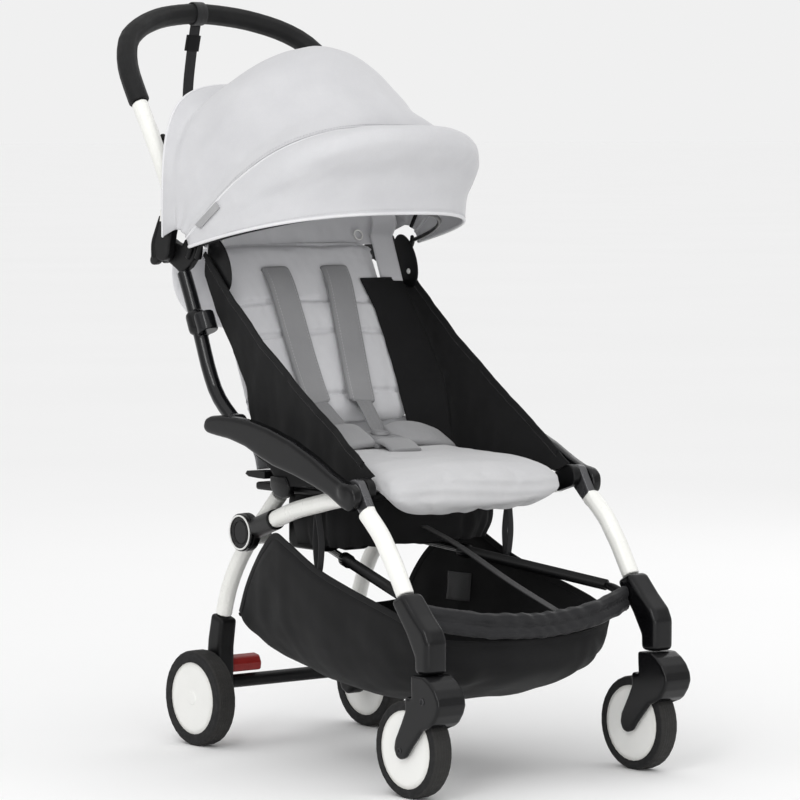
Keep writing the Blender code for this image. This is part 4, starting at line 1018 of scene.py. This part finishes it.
# ---------------------------------------------------------------- seat cushion
def build_cushion():
    pad = cad_copy("seat_cushion", "seat_cushion_pad", M["seat"])
    s = pad.modifiers.new("soft", "SUBSURF")
    s.levels = s.render_levels = 1
    bake_modifiers(pad)
    puff(pad, 0.005, 4.0, 0.007, 0.0005)
    co, n = coords(pad), normals(pad)
    y = co[:, 1] - DY
    up = np.clip(n[:, 2], 0, 1)
    front = np.clip(-n[:, 1], 0, 1)
    # long soft tension folds over the nose of the seat, and wear dimples on top
    fold = (np.sin(co[:, 2] * 520 + 2.2 * np.sin(co[:, 0] * 17)) * np.exp(-((co[:, 2] - 0.392) / 0.016) ** 2)) * 0.0009 * np.clip(front + 0.2, 0, 1)
    dip = -np.exp(-((co[:, 0] / 0.09) ** 2 + ((y + 0.09) / 0.09) ** 2)) * 0.003 * up
    rough = wander(co * np.array([0.5, 1, 1]), 0.055, 31) * 0.0011
    floor = np.clip(-n[:, 2], 0, 1)
    co = co + n * ((fold + dip + rough) * (1 - floor))[:, None]
    nose = np.clip((-0.165 - y) / 0.09, 0, 1)
    co[:, 0] *= 1 + 0.045 * nose
    co[:, 2] -= 0.009 * nose ** 2 * np.clip((0.400 - co[:, 2]) / 0.03, 0, 1)
    set_coords(pad, co)
    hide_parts("seat_cushion")
    return pad


cushion = build_cushion()
ride("chassis", cushion)


# ---------------------------------------------------------------- side wings
WING = [(0.1290, 0.7030), (0.0696, 0.6471), (-0.0071, 0.5836), (-0.0955, 0.5222), (-0.1820, 0.4674),
        (-0.2369, 0.4300), (-0.2600, 0.4140), (-0.2350, 0.4040), (-0.1500, 0.3930), (-0.0700, 0.3870),
        (-0.0470, 0.3870), (-0.0240, 0.4090), (0.0080, 0.4250), (0.0180, 0.4500), (0.0180, 0.4700), (0.0320, 0.5200),
        (0.0640, 0.5700), (0.1000, 0.6180), (0.1300, 0.6720)]


def wing_x(y, z, s):
    """The wing bows out a little between its edges and ripples softly."""
    p = np.stack([np.zeros_like(y), y, z], 1)
    return s * (0.1702 + 0.0012 * wander(p, 0.07, 41 + s) + 0.0006 * wander(p, 0.03, 43 + s))


def build_wing(tag, s):
    front = even(np.array([(0, a, b) for a, b in WING[:7]]), count=90)[:, 1:]
    rear = even(np.array([(0, a, b) for a, b in ([WING[0]] + WING[:6:-1] + [WING[6]])]), count=90)[:, 1:]
    k = np.linspace(0, 1, 34)[None, :, None]
    flat = front[:, None, :] * (1 - k) + rear[:, None, :] * k
    y, z = flat[..., 0].reshape(-1), flat[..., 1].reshape(-1)
    x = wing_x(y, z, s)
    g = np.stack([x, y + DY, z], 1).reshape(90, 34, 3)
    wing = grid(f"side_wing_{tag}", g, M["black_cloth"], 0.0016, 0.0)
    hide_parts(f"side_panel_{tag}")
    edge = even(np.array([(0, a, b) for a, b in WING[:6]]), count=110)
    ex = wing_x(edge[:, 1], edge[:, 2], s)
    line = np.stack([ex, edge[:, 1] + DY, edge[:, 2]], 1)
    t = np.gradient(line, axis=0)
    t /= np.linalg.norm(t, axis=1, keepdims=True)
    inward = np.cross(t, (1, 0, 0))
    if (inward[50] @ (np.array([0, 0.05 + DY, 0.43]) - line[50])) < 0:
        inward = -inward
    bind = band(f"wing_binding_{tag}", line + inward * 0.0030, inward, 0.0085, 0.0030, M["black_cloth3"], crown=1)
    sew = []
    for side in (-1, 1):
        sew.append(stitches(f"wing_stitches_{tag}_{'out' if side == s else 'in'}", line + inward * 0.0088 + np.array([side * 0.0010, 0, 0]), np.array([side, 0, 0.0]), M["thread_black"]))
    return wing, [bind, *sew], g


wings = {}
for tag, s in SIDES:
    wings[tag] = build_wing(tag, s)
    wing, trim, wing_grid = wings[tag]
    for piece in (wing, *trim):
        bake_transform(piece)


# ---------------------------------------------------------------- harness
def on_back(x, along, off):
    b = BACK_LO + UP * along + OUT * off
    return np.array(W(x, b.y, b.z))


def build_harness():
    made = {"back_frame": [], "chassis": []}
    for tag, s in SIDES:
        pts = through([on_back(s * 0.0525, LEN * 0.815, 0.0175), on_back(s * 0.0522, LEN * 0.80, 0.0215), on_back(s * 0.0510, LEN * 0.72, 0.0262),
                       on_back(s * 0.0480, LEN * 0.55, 0.0268), on_back(s * 0.0450, LEN * 0.38, 0.0268), on_back(s * 0.0420, LEN * 0.24, 0.0275),
                       on_back(s * 0.0395, LEN * 0.135, 0.0295), on_back(s * 0.0385, LEN * 0.105, 0.0300)], 60)
        width = 0.046 - 0.003 * np.linspace(0, 1, 60)
        width[-6:] *= np.array([0.99, 0.97, 0.93, 0.88, 0.8, 0.68])
        thick = np.full(60, 0.0095)
        thick[:5] *= np.array([0.5, 0.7, 0.85, 0.95, 1])
        thick[-6:] *= np.array([0.99, 0.96, 0.9, 0.8, 0.66, 0.45])
        sleeve = band(f"shoulder_pad_{tag}", pts, (1, 0, 0), width, thick, M["harness"], crown=1)
        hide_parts(f"shoulder_strap_{tag}")
        made["back_frame"].append(sleeve)
        for q in (-1, 1):
            e = pts + np.array([1, 0, 0]) * q * (width / 2 - 0.0045)[:, None] + np.array(OUT) * 0.0040
            made["back_frame"].append(stitches(f"shoulder_pad_stitches_{tag}_{'a' if q < 0 else 'b'}", e[4:-5], np.array(OUT), M["thread_light"], 0.0046, 0.003, 0.00036))
        # the webbing goes on from the pad down to the buckle
        end = pts[-3]
        to = [end, end * 0.7 + np.array(W(s * 0.034, 0.012, 0.468)) * 0.3 + np.array([0, 0, 0.004]), np.array(W(s * 0.030, -0.006, 0.4560)), np.array(W(s * 0.024, -0.028, 0.4490)), np.array(W(s * 0.020, -0.040, 0.4455))]
        made["chassis"].append(band(f"shoulder_webbing_{tag}", through(to, 30), (1, 0, 0), 0.0250, 0.0022, M["grey_web"]))
        # hip pad from the buckle out and back to the seat's side
        hip = through([W(s * 0.020, -0.050, 0.4470), W(s * 0.044, -0.054, 0.4500), W(s * 0.078, -0.052, 0.4470), W(s * 0.106, -0.046, 0.4405), W(s * 0.130, -0.038, 0.4345)], 40)
        hw = 0.040 + 0.016 * np.sin(np.linspace(0.1, 1, 40) * math.pi)
        ht = np.full(40, 0.0125)
        ht[:5] *= np.array([0.45, 0.65, 0.8, 0.9, 0.97])
        ht[-6:] *= np.array([0.99, 0.96, 0.9, 0.8, 0.66, 0.45])
        pad = band(f"hip_pad_{tag}", hip, (0, 0.80, 0.42), hw, ht, M["harness"], crown=1)
        made["chassis"].append(pad)
    crotch = through([W(0, -0.060, 0.4400), W(0, -0.074, 0.4420), W(0, -0.090, 0.4400), W(0, -0.104, 0.4345), W(0, -0.112, 0.4300)], 26)
    cw = np.full(26, 0.052)
    cw[:3] *= np.array([0.8, 0.92, 0.98])
    pad = band("crotch_pad", crotch, (1, 0, 0), cw, np.full(26, 0.0085), M["harness"], crown=1)
    made["chassis"].append(pad)
    return made


harness = build_harness()
for body, objs in harness.items():
    ride(body, *objs)
dress(["harness_buckle", "buckle_button"], M["buckle"])

# ---------------------------------------------------------------- basket
BASKET = [(-0.3520, 0.050, 0.160, 0.2130, 0.1930), (-0.3500, 0.062, 0.165, 0.2150, 0.1650),
          (-0.3350, 0.056, 0.167, 0.2200, 0.1420), (-0.3050, 0.030, 0.169, 0.2300, 0.1210),
          (-0.2620, 0.015, 0.170, 0.2410, 0.1050), (-0.2000, 0.000, 0.170, 0.2560, 0.0960),
          (-0.1300, 0.000, 0.170, 0.2762, 0.0990), (-0.0600, 0.000, 0.168, 0.3060, 0.1060),
          (-0.0270, 0.000, 0.165, 0.3150, 0.1120), (0.0060, 0.000, 0.160, 0.2930, 0.1190),
          (0.0360, 0.000, 0.153, 0.2660, 0.1280), (0.0600, 0.000, 0.149, 0.2350, 0.1400),
          (0.0750, 0.000, 0.147, 0.2060, 0.1600), (0.0800, 0.000, 0.146, 0.1980, 0.1900)]


def basket_row(y, bow, half, rim, floor, count=97, power=3.2):
    t = spread(count)
    c, sn = np.cos(t), np.maximum(np.sin(t), 0)
    x = half * np.sign(c) * np.abs(c) ** (2 / power)
    return np.stack([x, y - bow * (1 - (x / half) ** 2), rim - (rim - floor) * sn ** (2 / power)], 1)


def build_basket():
    g = through(np.array([basket_row(*b) for b in BASKET]), 110)
    g[:, :, 1] += DY
    n = grid_normals(g)
    i = np.linspace(0, 1, g.shape[0])[:, None]
    j = np.linspace(-1, 1, g.shape[1])[None, :]
    h = 0.0018 * wander(g.reshape(-1, 3) * np.array([1, 0.6, 1]), 0.06, 51).reshape(g.shape[:2])
    # pleats at the front, under the crossbar, and slack folds down the sides
    h += 0.0020 * np.sin(j * 34) * np.exp(-((i - 0.16) / 0.07) ** 2) * np.exp(-(j / 0.55) ** 4)
    h += 0.0014 * np.sin(i * 42 + 2 * j) * np.exp(-((np.abs(j) - 0.72) / 0.16) ** 2) * np.sin(math.pi * i)
    fade = np.clip(np.minimum(i, 1 - i) / 0.03, 0, 1) * np.clip((1 - np.abs(j)) / 0.05, 0, 1)
    g = g + n * (h * fade)[..., None]
    bag = grid("basket_cloth", g, M["black_cloth"], 0.0014, 0.0)
    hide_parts("basket")
    trim = []
    for side, col in (("right", -1), ("left", 0)):
        trim.append(band(f"basket_rim_{side}", even(g[:, col], count=120), (0, 0, 1), 0.0090, 0.0032, M["black_cloth3"], crown=1))
    trim.append(band("basket_front_rim", even(g[0], count=140), np.repeat(np.array([[0, 0.05, 1.0]]), 140, 0), 0.0090, 0.0032, M["black_cloth3"], crown=1))
    trim.append(band("basket_rear_rim", even(g[-1], count=120), np.repeat(np.array([[0, 0.05, 1.0]]), 120, 0), 0.0080, 0.0030, M["black_cloth3"], crown=1))
    return bag, trim, g


basket, basket_trim, basket_grid = build_basket()
ride("chassis", basket, *basket_trim)
for piece in (basket, *basket_trim):
    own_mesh(piece)

# ---------------------------------------------------------------- hanging strap
HANG = [(-0.002, 0.3900, 1.0280), (-0.004, 0.3990, 0.9800), (-0.007, 0.4030, 0.9300), (-0.009, 0.3990, 0.8800),
        (-0.009, 0.3850, 0.8330), (-0.008, 0.3600, 0.7900), (-0.006, 0.3280, 0.7540), (-0.003, 0.2920, 0.7300), (0.0, 0.2560, 0.7190)]
hang = even(through(world(HANG), 200), count=120)
strap = band("handle_strap_webbing", hang, (1, 0, 0), 0.0180, 0.0020, M["black_web"])
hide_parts("handle_strap")
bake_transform(strap)

# ---------------------------------------------------------------- hub cap rings and small fittings
def ringed(name, centre, axis, radius, wire, mat, count=64, sides=8):
    """A closed round ring about an axis."""
    axis = Vector(axis).normalized()
    a = axis.orthogonal().normalized()
    b = axis.cross(a)
    pts = [np.array(Vector(centre) + a * radius * math.cos(TAU * k / count) + b * radius * math.sin(TAU * k / count)) for k in range(count)]
    return pipe(name, np.array(pts), wire, mat, sides, closed=True)


def slab(name, outline, x0, x1, mat, bevel=0.0012, voxel=0.0):
    """A flat piece cut to an outline in a plane of constant x, with rounded edges."""
    bm = bmesh.new()
    face = bm.faces.new([bm.verts.new(W(x0, y, z)) for y, z in outline])
    out = bmesh.ops.extrude_face_region(bm, geom=[face])
    bmesh.ops.translate(bm, verts=[v for v in out["geom"] if isinstance(v, bmesh.types.BMVert)], vec=(x1 - x0, 0, 0))
    bmesh.ops.recalc_face_normals(bm, faces=bm.faces)
    mesh = bpy.data.meshes.new(name)
    bm.to_mesh(mesh)
    bm.free()
    obj = link(name, mesh, mat, False)
    m = obj.modifiers.new("b", "BEVEL")
    m.width = bevel
    m.segments = 3
    m.limit_method = "ANGLE"
    m.angle_limit = math.radians(28)
    bake_modifiers(obj)
    obj.data.shade_smooth()
    obj.data.set_sharp_from_angle(angle=math.radians(50))
    return obj


def ellipse(cy, cz, ry, rz, turn=0.0, count=40):
    c, sn = math.cos(turn), math.sin(turn)
    out = []
    for k in range(count):
        a = TAU * k / count
        u, v = ry * math.cos(a), rz * math.sin(a)
        out.append((cy + u * c - v * sn, cz + u * sn + v * c))
    return out


for tag, s in SIDES:
    h0, h1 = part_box(f"hub_cap_{tag}")
    mid = (h0 + h1) / 2
    face_x = s * max(abs(h0.x), abs(h1.x))
    reach = (h1.z - h0.z) / 2
    ring = ringed(f"hub_cap_ring_{tag}", (face_x + s * 0.0002, mid.y, mid.z), (1, 0, 0), reach - 0.0032, 0.0013, M["trim_white"])
    inner = ringed(f"hub_cap_groove_{tag}", (face_x + s * 0.0001, mid.y, mid.z), (1, 0, 0), reach - 0.0105, 0.0005, M["satin"])
    ride("chassis", ring, inner)
dress(both("hub_cap"), M["cap"])

# ---------------------------------------------------------------- black gussets, liners and pivot plates beside the pad
WING_REAR = np.array([(-0.024, 0.409), (0.008, 0.425), (0.018, 0.450), (0.018, 0.470), (0.032, 0.520), (0.064, 0.570), (0.100, 0.618), (0.130, 0.662)])


def back_at(x, z, off):
    y = 0.0560 + (z - 0.4480) * UP.y / UP.z
    return np.array([x, y + DY - off, z])


def build_gusset(tag, s):
    """The black cloth between the side panel's rear edge and the seat back."""
    zs = np.linspace(0.4080, 0.6600, 46)
    near = [0.118, 0.121, 0.125, 0.145, 0.152] if s < 0 else [0.118, 0.118, 0.1168, 0.1096, 0.0955]
    inner = np.interp(zs, [0.428, 0.500, 0.5437, 0.6149, 0.6600], near)
    rows = []
    for z, xi in zip(zs, inner):
        a = back_at(s * xi, z, 0.0225)
        yr = np.interp(z, WING_REAR[:, 1], WING_REAR[:, 0]) - 0.016
        b = np.array([s * 0.1676, yr + DY, z])
        k = np.linspace(0, 1, 18)[:, None]
        line = a * (1 - k) + b * k
        line[:, 1] += 0.006 * np.sin(k[:, 0] * math.pi)
        rows.append(line)
    g = np.array(rows)
    g[..., 1] += 0.0010 * wander(g.reshape(-1, 3), 0.04, 61 + s).reshape(g.shape[:2])
    cloth = grid(f"seat_side_gusset_{tag}", g, M["black_side"], 0.0014, 0.0)
    hem = pipe(f"gusset_edge_{tag}", even(g[:, 0], count=80), 0.0011, M["black_cloth3"], 8)
    top = pipe(f"gusset_top_{tag}", even(g[-1], count=40), 0.0011, M["black_cloth3"], 8)
    ride("back_frame", cloth, hem, top)


def build_liner(tag, s):
    """The light cloth that joins the back's curtain to the hood, ahead of the push bar's tube."""
    zs = np.linspace(0.6560, 0.800, 30)
    rows = []
    for z in zs:
        low = min(max((0.738 - z) / 0.018, 0.0), 1.0)
        a = back_at(s * (0.150 - 0.009 * low), z, 0.010)
        b = np.array([s * (0.1780 - 0.0152 * low), a[1] - 0.024, z])
        k = np.linspace(0, 1, 10)[:, None]
        rows.append(a * (1 - k) + b * k)
    g = np.array(rows)
    cloth = grid(f"hood_side_liner_{tag}", g, M["liner"], 0.0010, 0.0)
    ride("back_frame", cloth)


for tag, s in SIDES:
    build_gusset(tag, s)
    build_liner(tag, s)
    lobe = slab(f"pivot_plate_{tag}", ellipse(0.1010, 0.6850, 0.0410, 0.0240, 1.10), s * 0.1640, s * 0.1664, M["plastic"], 0.0009)
    rivet = lathe(f"pivot_rivet_{tag}", [(0.1624, 0.0), (0.1626, 0.0028), (0.1641, 0.0042)], (0, 0, 0), s, M["trim_white"], 24)
    co = coords(rivet)
    co[:, 1] += 0.0930 + DY
    co[:, 2] += 0.6700
    set_coords(rivet, co)
    eyelet = ringed(f"liner_eyelet_{tag}", W(s * 0.1240, 0.1600, 0.7220), (0, -1, 0.35), 0.0072, 0.0013, M["trim_white"], 40)
    ride("back_frame", lobe, rivet, eyelet)
    # the hinge's release: a knob behind the socket, a fin up the tube and two claws over the back tube
    knob = slab(f"hinge_knob_{tag}", ellipse(0.2135, 0.6930, 0.0125, 0.0085, -0.5), s * 0.1890, s * 0.1990, M["plastic"], 0.0024)
    fin = pipe(f"hinge_fin_{tag}", through(world([(s * 0.1960, 0.2160, 0.6950), (s * 0.1965, 0.2165, 0.7150), (s * 0.1970, 0.2080, 0.7350), (s * 0.1975, 0.2000, 0.7520)]), 30), 0.004, M["plastic"], 12, radii=np.linspace(0.0055, 0.0020, 30))
    claws = [pipe(f"hinge_claw_{tag}_{k}", through(world([(s * 0.1850, y0, 0.6960), (s * 0.1880, y0 - 0.010, 0.7100), (s * 0.1880, y0 - 0.011, 0.7200)]), 16), 0.004, M["plastic"], 10, radii=np.linspace(0.0055, 0.0026, 16)) for k, y0 in enumerate((0.1480, 0.1260))]
    ride("back_frame", knob, fin, *claws)
    # latch under the arm, webbing loop on the link tube
    latch = slab(f"seat_latch_{tag}", [(-0.0300, 0.3990), (-0.0640, 0.4000), (-0.0720, 0.3900), (-0.0700, 0.3740), (-0.0560, 0.3690), (-0.0400, 0.3720), (-0.0300, 0.3840)], s * 0.1620, s * 0.1760, M["satin"], 0.0032)
    loop = band(f"basket_loop_{tag}", even(through(world([(s * 0.1680, -0.1290, 0.3560), (s * 0.1665, -0.1240, 0.3100), (s * 0.1660, -0.1300, 0.2720), (s * 0.1665, -0.1370, 0.3100), (s * 0.1680, -0.1310, 0.3560)]), 60), count=60), (1, 0, 0), 0.0100, 0.0014, M["black_web"])
    ride("chassis", latch, loop)

# screws at the axle and at the fork's head
for tag, s in SIDES:
    for k, (sy, sz, r) in enumerate(((-0.3776, 0.0640, 0.0042), (-0.4250, 0.1340, 0.0052))):
        screw = lathe(f"fork_screw_{tag}_{k}", [(0.2190, r), (0.2206, r * 0.96), (0.2211, r * 0.8), (0.2207, r * 0.45), (0.2200, r * 0.4), (0.2199, 0.0)], (0, 0, 0), s, M["screw"], 28)
        co = coords(screw)
        co[:, 1] += sy + DY
        co[:, 2] += sz
        set_coords(screw, co)
        ride(f"caster_{tag}", screw)

# collar round each back tube
for tag, s in SIDES:
    line = np.linspace(np.array((s * 0.1870, 0.1193, 0.5930)), np.array((s * 0.1870, 0.1300, 0.6172)), 12)
    line[:, 1] += DY
    collar = pipe(f"tube_collar_{tag}", line, 0.0146, M["satin"], 32, radii=[0.0136, 0.0144] + [0.0147] * 8 + [0.0144, 0.0136])
    ride("back_frame", collar)

# strap loop round the grip and its slider
co = coords(grip_skin)
mid = co[np.abs(co[:, 0]) < 0.004]
gc = (mid.max(0) + mid.min(0)) / 2
gr = (mid[:, 1].max() - mid[:, 1].min() + mid[:, 2].max() - mid[:, 2].min()) / 4
turn = np.linspace(0, TAU, 65)[:-1]
loop_line = np.stack([np.full(64, -0.002), gc[1] + (gr + 0.0016) * np.cos(turn), gc[2] + (gr + 0.0016) * np.sin(turn)], 1)
loop = band("strap_loop", np.concatenate([loop_line, loop_line[:1]]), (1, 0, 0), 0.0180, 0.0018, M["black_web"])
slider = band("strap_slider", through(world([(-0.0025, 0.3935, 1.0130), (-0.0030, 0.3960, 1.0020), (-0.0035, 0.3985, 0.9900)]), 12), (1, 0, 0), 0.0250, 0.0052, M["plastic"], crown=1)
ride("handlebar", loop, slider)

# ---------------------------------------------------------------- cloth skirt that hides the mechanism
def build_skirt():
    rows = []
    t = np.linspace(0, 1, 90)
    for k, (z, grow) in enumerate(((0.3780, 0.0), (0.3640, 0.004), (0.3450, 0.005), (0.3240, 0.003), (0.3060, -0.002))):
        a = math.pi * t
        x = -(0.1440 + grow) * np.sign(np.cos(a)) * np.abs(np.cos(a)) ** 0.42
        y = -0.0520 - (0.0930 + grow) * np.abs(np.sin(a)) ** 0.42
        rows.append(np.stack([x, y, np.full(90, z)], 1))
    g = through(np.array(rows), 34)
    g[..., 1] += DY
    n = grid_normals(g)
    i = np.linspace(0, 1, g.shape[0])[:, None]
    h = 0.0034 * wander(g.reshape(-1, 3) * np.array([1, 1, 0.45]), 0.034, 71).reshape(g.shape[:2]) + 0.0018 * np.sin(t * 70)[None, :] * i
    g = g + n * h[..., None]
    cloth = grid("seat_skirt", g, M["black_side"], 0.0014, 0.0)
    hem = pipe("seat_skirt_hem", even(g[-1], count=160), 0.0012, M["black_cloth3"], 8)
    ride("chassis", cloth, hem)


build_skirt()


def build_join():
    """Cloth that closes the gap between the bottom of the back and the rear of the cushion."""
    rows = []
    t = np.linspace(-1, 1, 60)
    for y, z, half in ((0.0560, 0.4640, 0.150), (0.0520, 0.4500, 0.152), (0.0440, 0.4360, 0.152), (0.0360, 0.4200, 0.150), (0.0330, 0.4020, 0.148)):
        rows.append(np.stack([t * half, np.full(60, y), np.full(60, z)], 1))
    g = through(np.array(rows), 22)
    g[..., 1] += DY + 0.0040 + 0.0012 * wander(g.reshape(-1, 3), 0.04, 81).reshape(g.shape[:2])
    cloth = grid("seat_join_cloth", g, M["join"], 0.0014, 0.0)
    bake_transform(cloth)


build_join()

# ---------------------------------------------------------------- stay strap, size tag and basket patch
stay = band("crossbar_stay", even(through(world([(0.0, -0.1460, 0.3300), (0.010, -0.2150, 0.3060), (0.026, -0.3050, 0.2640), (0.040, -0.3920, 0.2290)]), 60), count=60), (1, 0, 0), 0.0130, 0.0016, M["black_web"])
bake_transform(stay)
for tag, s in SIDES:
    bracket = pipe(f"strut_bracket_{tag}", through(world([(s * 0.1690, -0.3435, 0.2512), (s * 0.1686, -0.3560, 0.2490), (s * 0.1670, -0.3700, 0.2450)]), 14), 0.0060, M["plastic"], 14, radii=np.linspace(0.0052, 0.0068, 14))
    ride("front_legs", bracket)


def cast_patch(name, targets, starts, way, lift, mat, thick):
    """A small piece of cloth laid on a sheet, found by casting from a grid of points."""
    way = Vector(way).normalized()
    far = np.full(starts.shape[:2], np.nan)
    for a in range(starts.shape[0]):
        for b in range(starts.shape[1]):
            for target in targets:
                hit, at, nn, _ = target.ray_cast(Vector(starts[a, b]), way)
                if hit:
                    far[a, b] = np.nanmin([far[a, b], (at - Vector(starts[a, b])).length])
    if np.isnan(far).mean() > 0.5:
        return None
    far[np.isnan(far)] = np.nanmedian(far)
    return grid(name, starts + np.array(way) * (far - lift)[..., None], mat, thick, 0.0)


u = np.linspace(0, 1, 26)[:, None, None]
v = np.linspace(0, 1, 7)[None, :, None]
corner = world([(-0.3, -0.0312, 0.7460), (-0.3, -0.0797, 0.7781), (-0.3, -0.0895, 0.7708), (-0.3, -0.0434, 0.7411)])
starts = (1 - v) * ((1 - u) * corner[0] + u * corner[1]) + v * ((1 - u) * corner[3] + u * corner[2])
hood_tag = cast_patch("hood_side_tag", [hood, visor], starts, (0.5752, 0.8177, -0.0222), 0.0034, M["tag"], 0.0010)
if hood_tag:
    ride("hood_rear", hood_tag)
u = np.linspace(0, 1, 12)[:, None]
v = np.linspace(0, 1, 12)[None, :]
starts = np.zeros((12, 12, 3))
starts[..., 0] = 0.02
starts[..., 1] = DY - 0.052 + 0.046 * u
starts[..., 2] = 0.2030 + 0.040 * v
patch = cast_patch("basket_patch", [basket], starts, (1, 0, 0), 0.0010, M["label"], 0.0006)
if patch:
    ride("chassis", patch)
    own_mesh(patch)

# ---------------------------------------------------------------- floor, lights, camera
make_camera()
floor_mesh = bpy.data.meshes.new("floor")
floor_mesh.from_pydata([(-150, -150, 0), (150, -150, 0), (150, 150, 0), (-150, 150, 0)], [], [(0, 1, 2, 3)])
fp = Paint("studio_floor", rough=0.9)
fp.colour(fp.blend(fp.noise(0.7, 3), lin(250, 250, 250), lin(246, 246, 246)))
floor = link("floor", floor_mesh, fp.mat, False)

sky = bpy.data.worlds.new("studio")
bpy.context.scene.world = sky
sky.use_nodes = True
back = next(n for n in sky.node_tree.nodes if n.type == "BACKGROUND")
back.inputs["Color"].default_value = (1, 1, 1, 1)
path = sky.node_tree.nodes.new("ShaderNodeLightPath")
seen = sky.node_tree.nodes.new("ShaderNodeMapRange")
seen.inputs[3].default_value = 0.60
seen.inputs[4].default_value = 0.872
sky.node_tree.links.new(path.outputs["Is Camera Ray"], seen.inputs[0])
sky.node_tree.links.new(seen.outputs[0], back.inputs["Strength"])
overhead = bpy.data.lights.new("overhead", "SUN")
overhead.energy = 1.15
overhead.angle = math.radians(120)
lamp = bpy.data.objects.new("overhead", overhead)
bpy.context.scene.collection.objects.link(lamp)
lamp.rotation_euler = (math.radians(14), math.radians(-16), 0)
area_light("key_left", (-3.0, -2.6, 2.2), (0, 0, 0.5), 1.6, 14)
area_light("fill_front", (-1.5, -3.6, 0.55), (0, 0, 0.55), 2.2, 17, 0.9)
area_light("strip_top", (-1.9, -1.5, 2.3), (0, -0.1, 0.45), 0.30, 11, 1.5)
area_light("rim_right", (2.8, 1.2, 2.2), (0, 0, 0.6), 1.4, 8)
bpy.context.scene.view_settings.view_transform = "Standard"
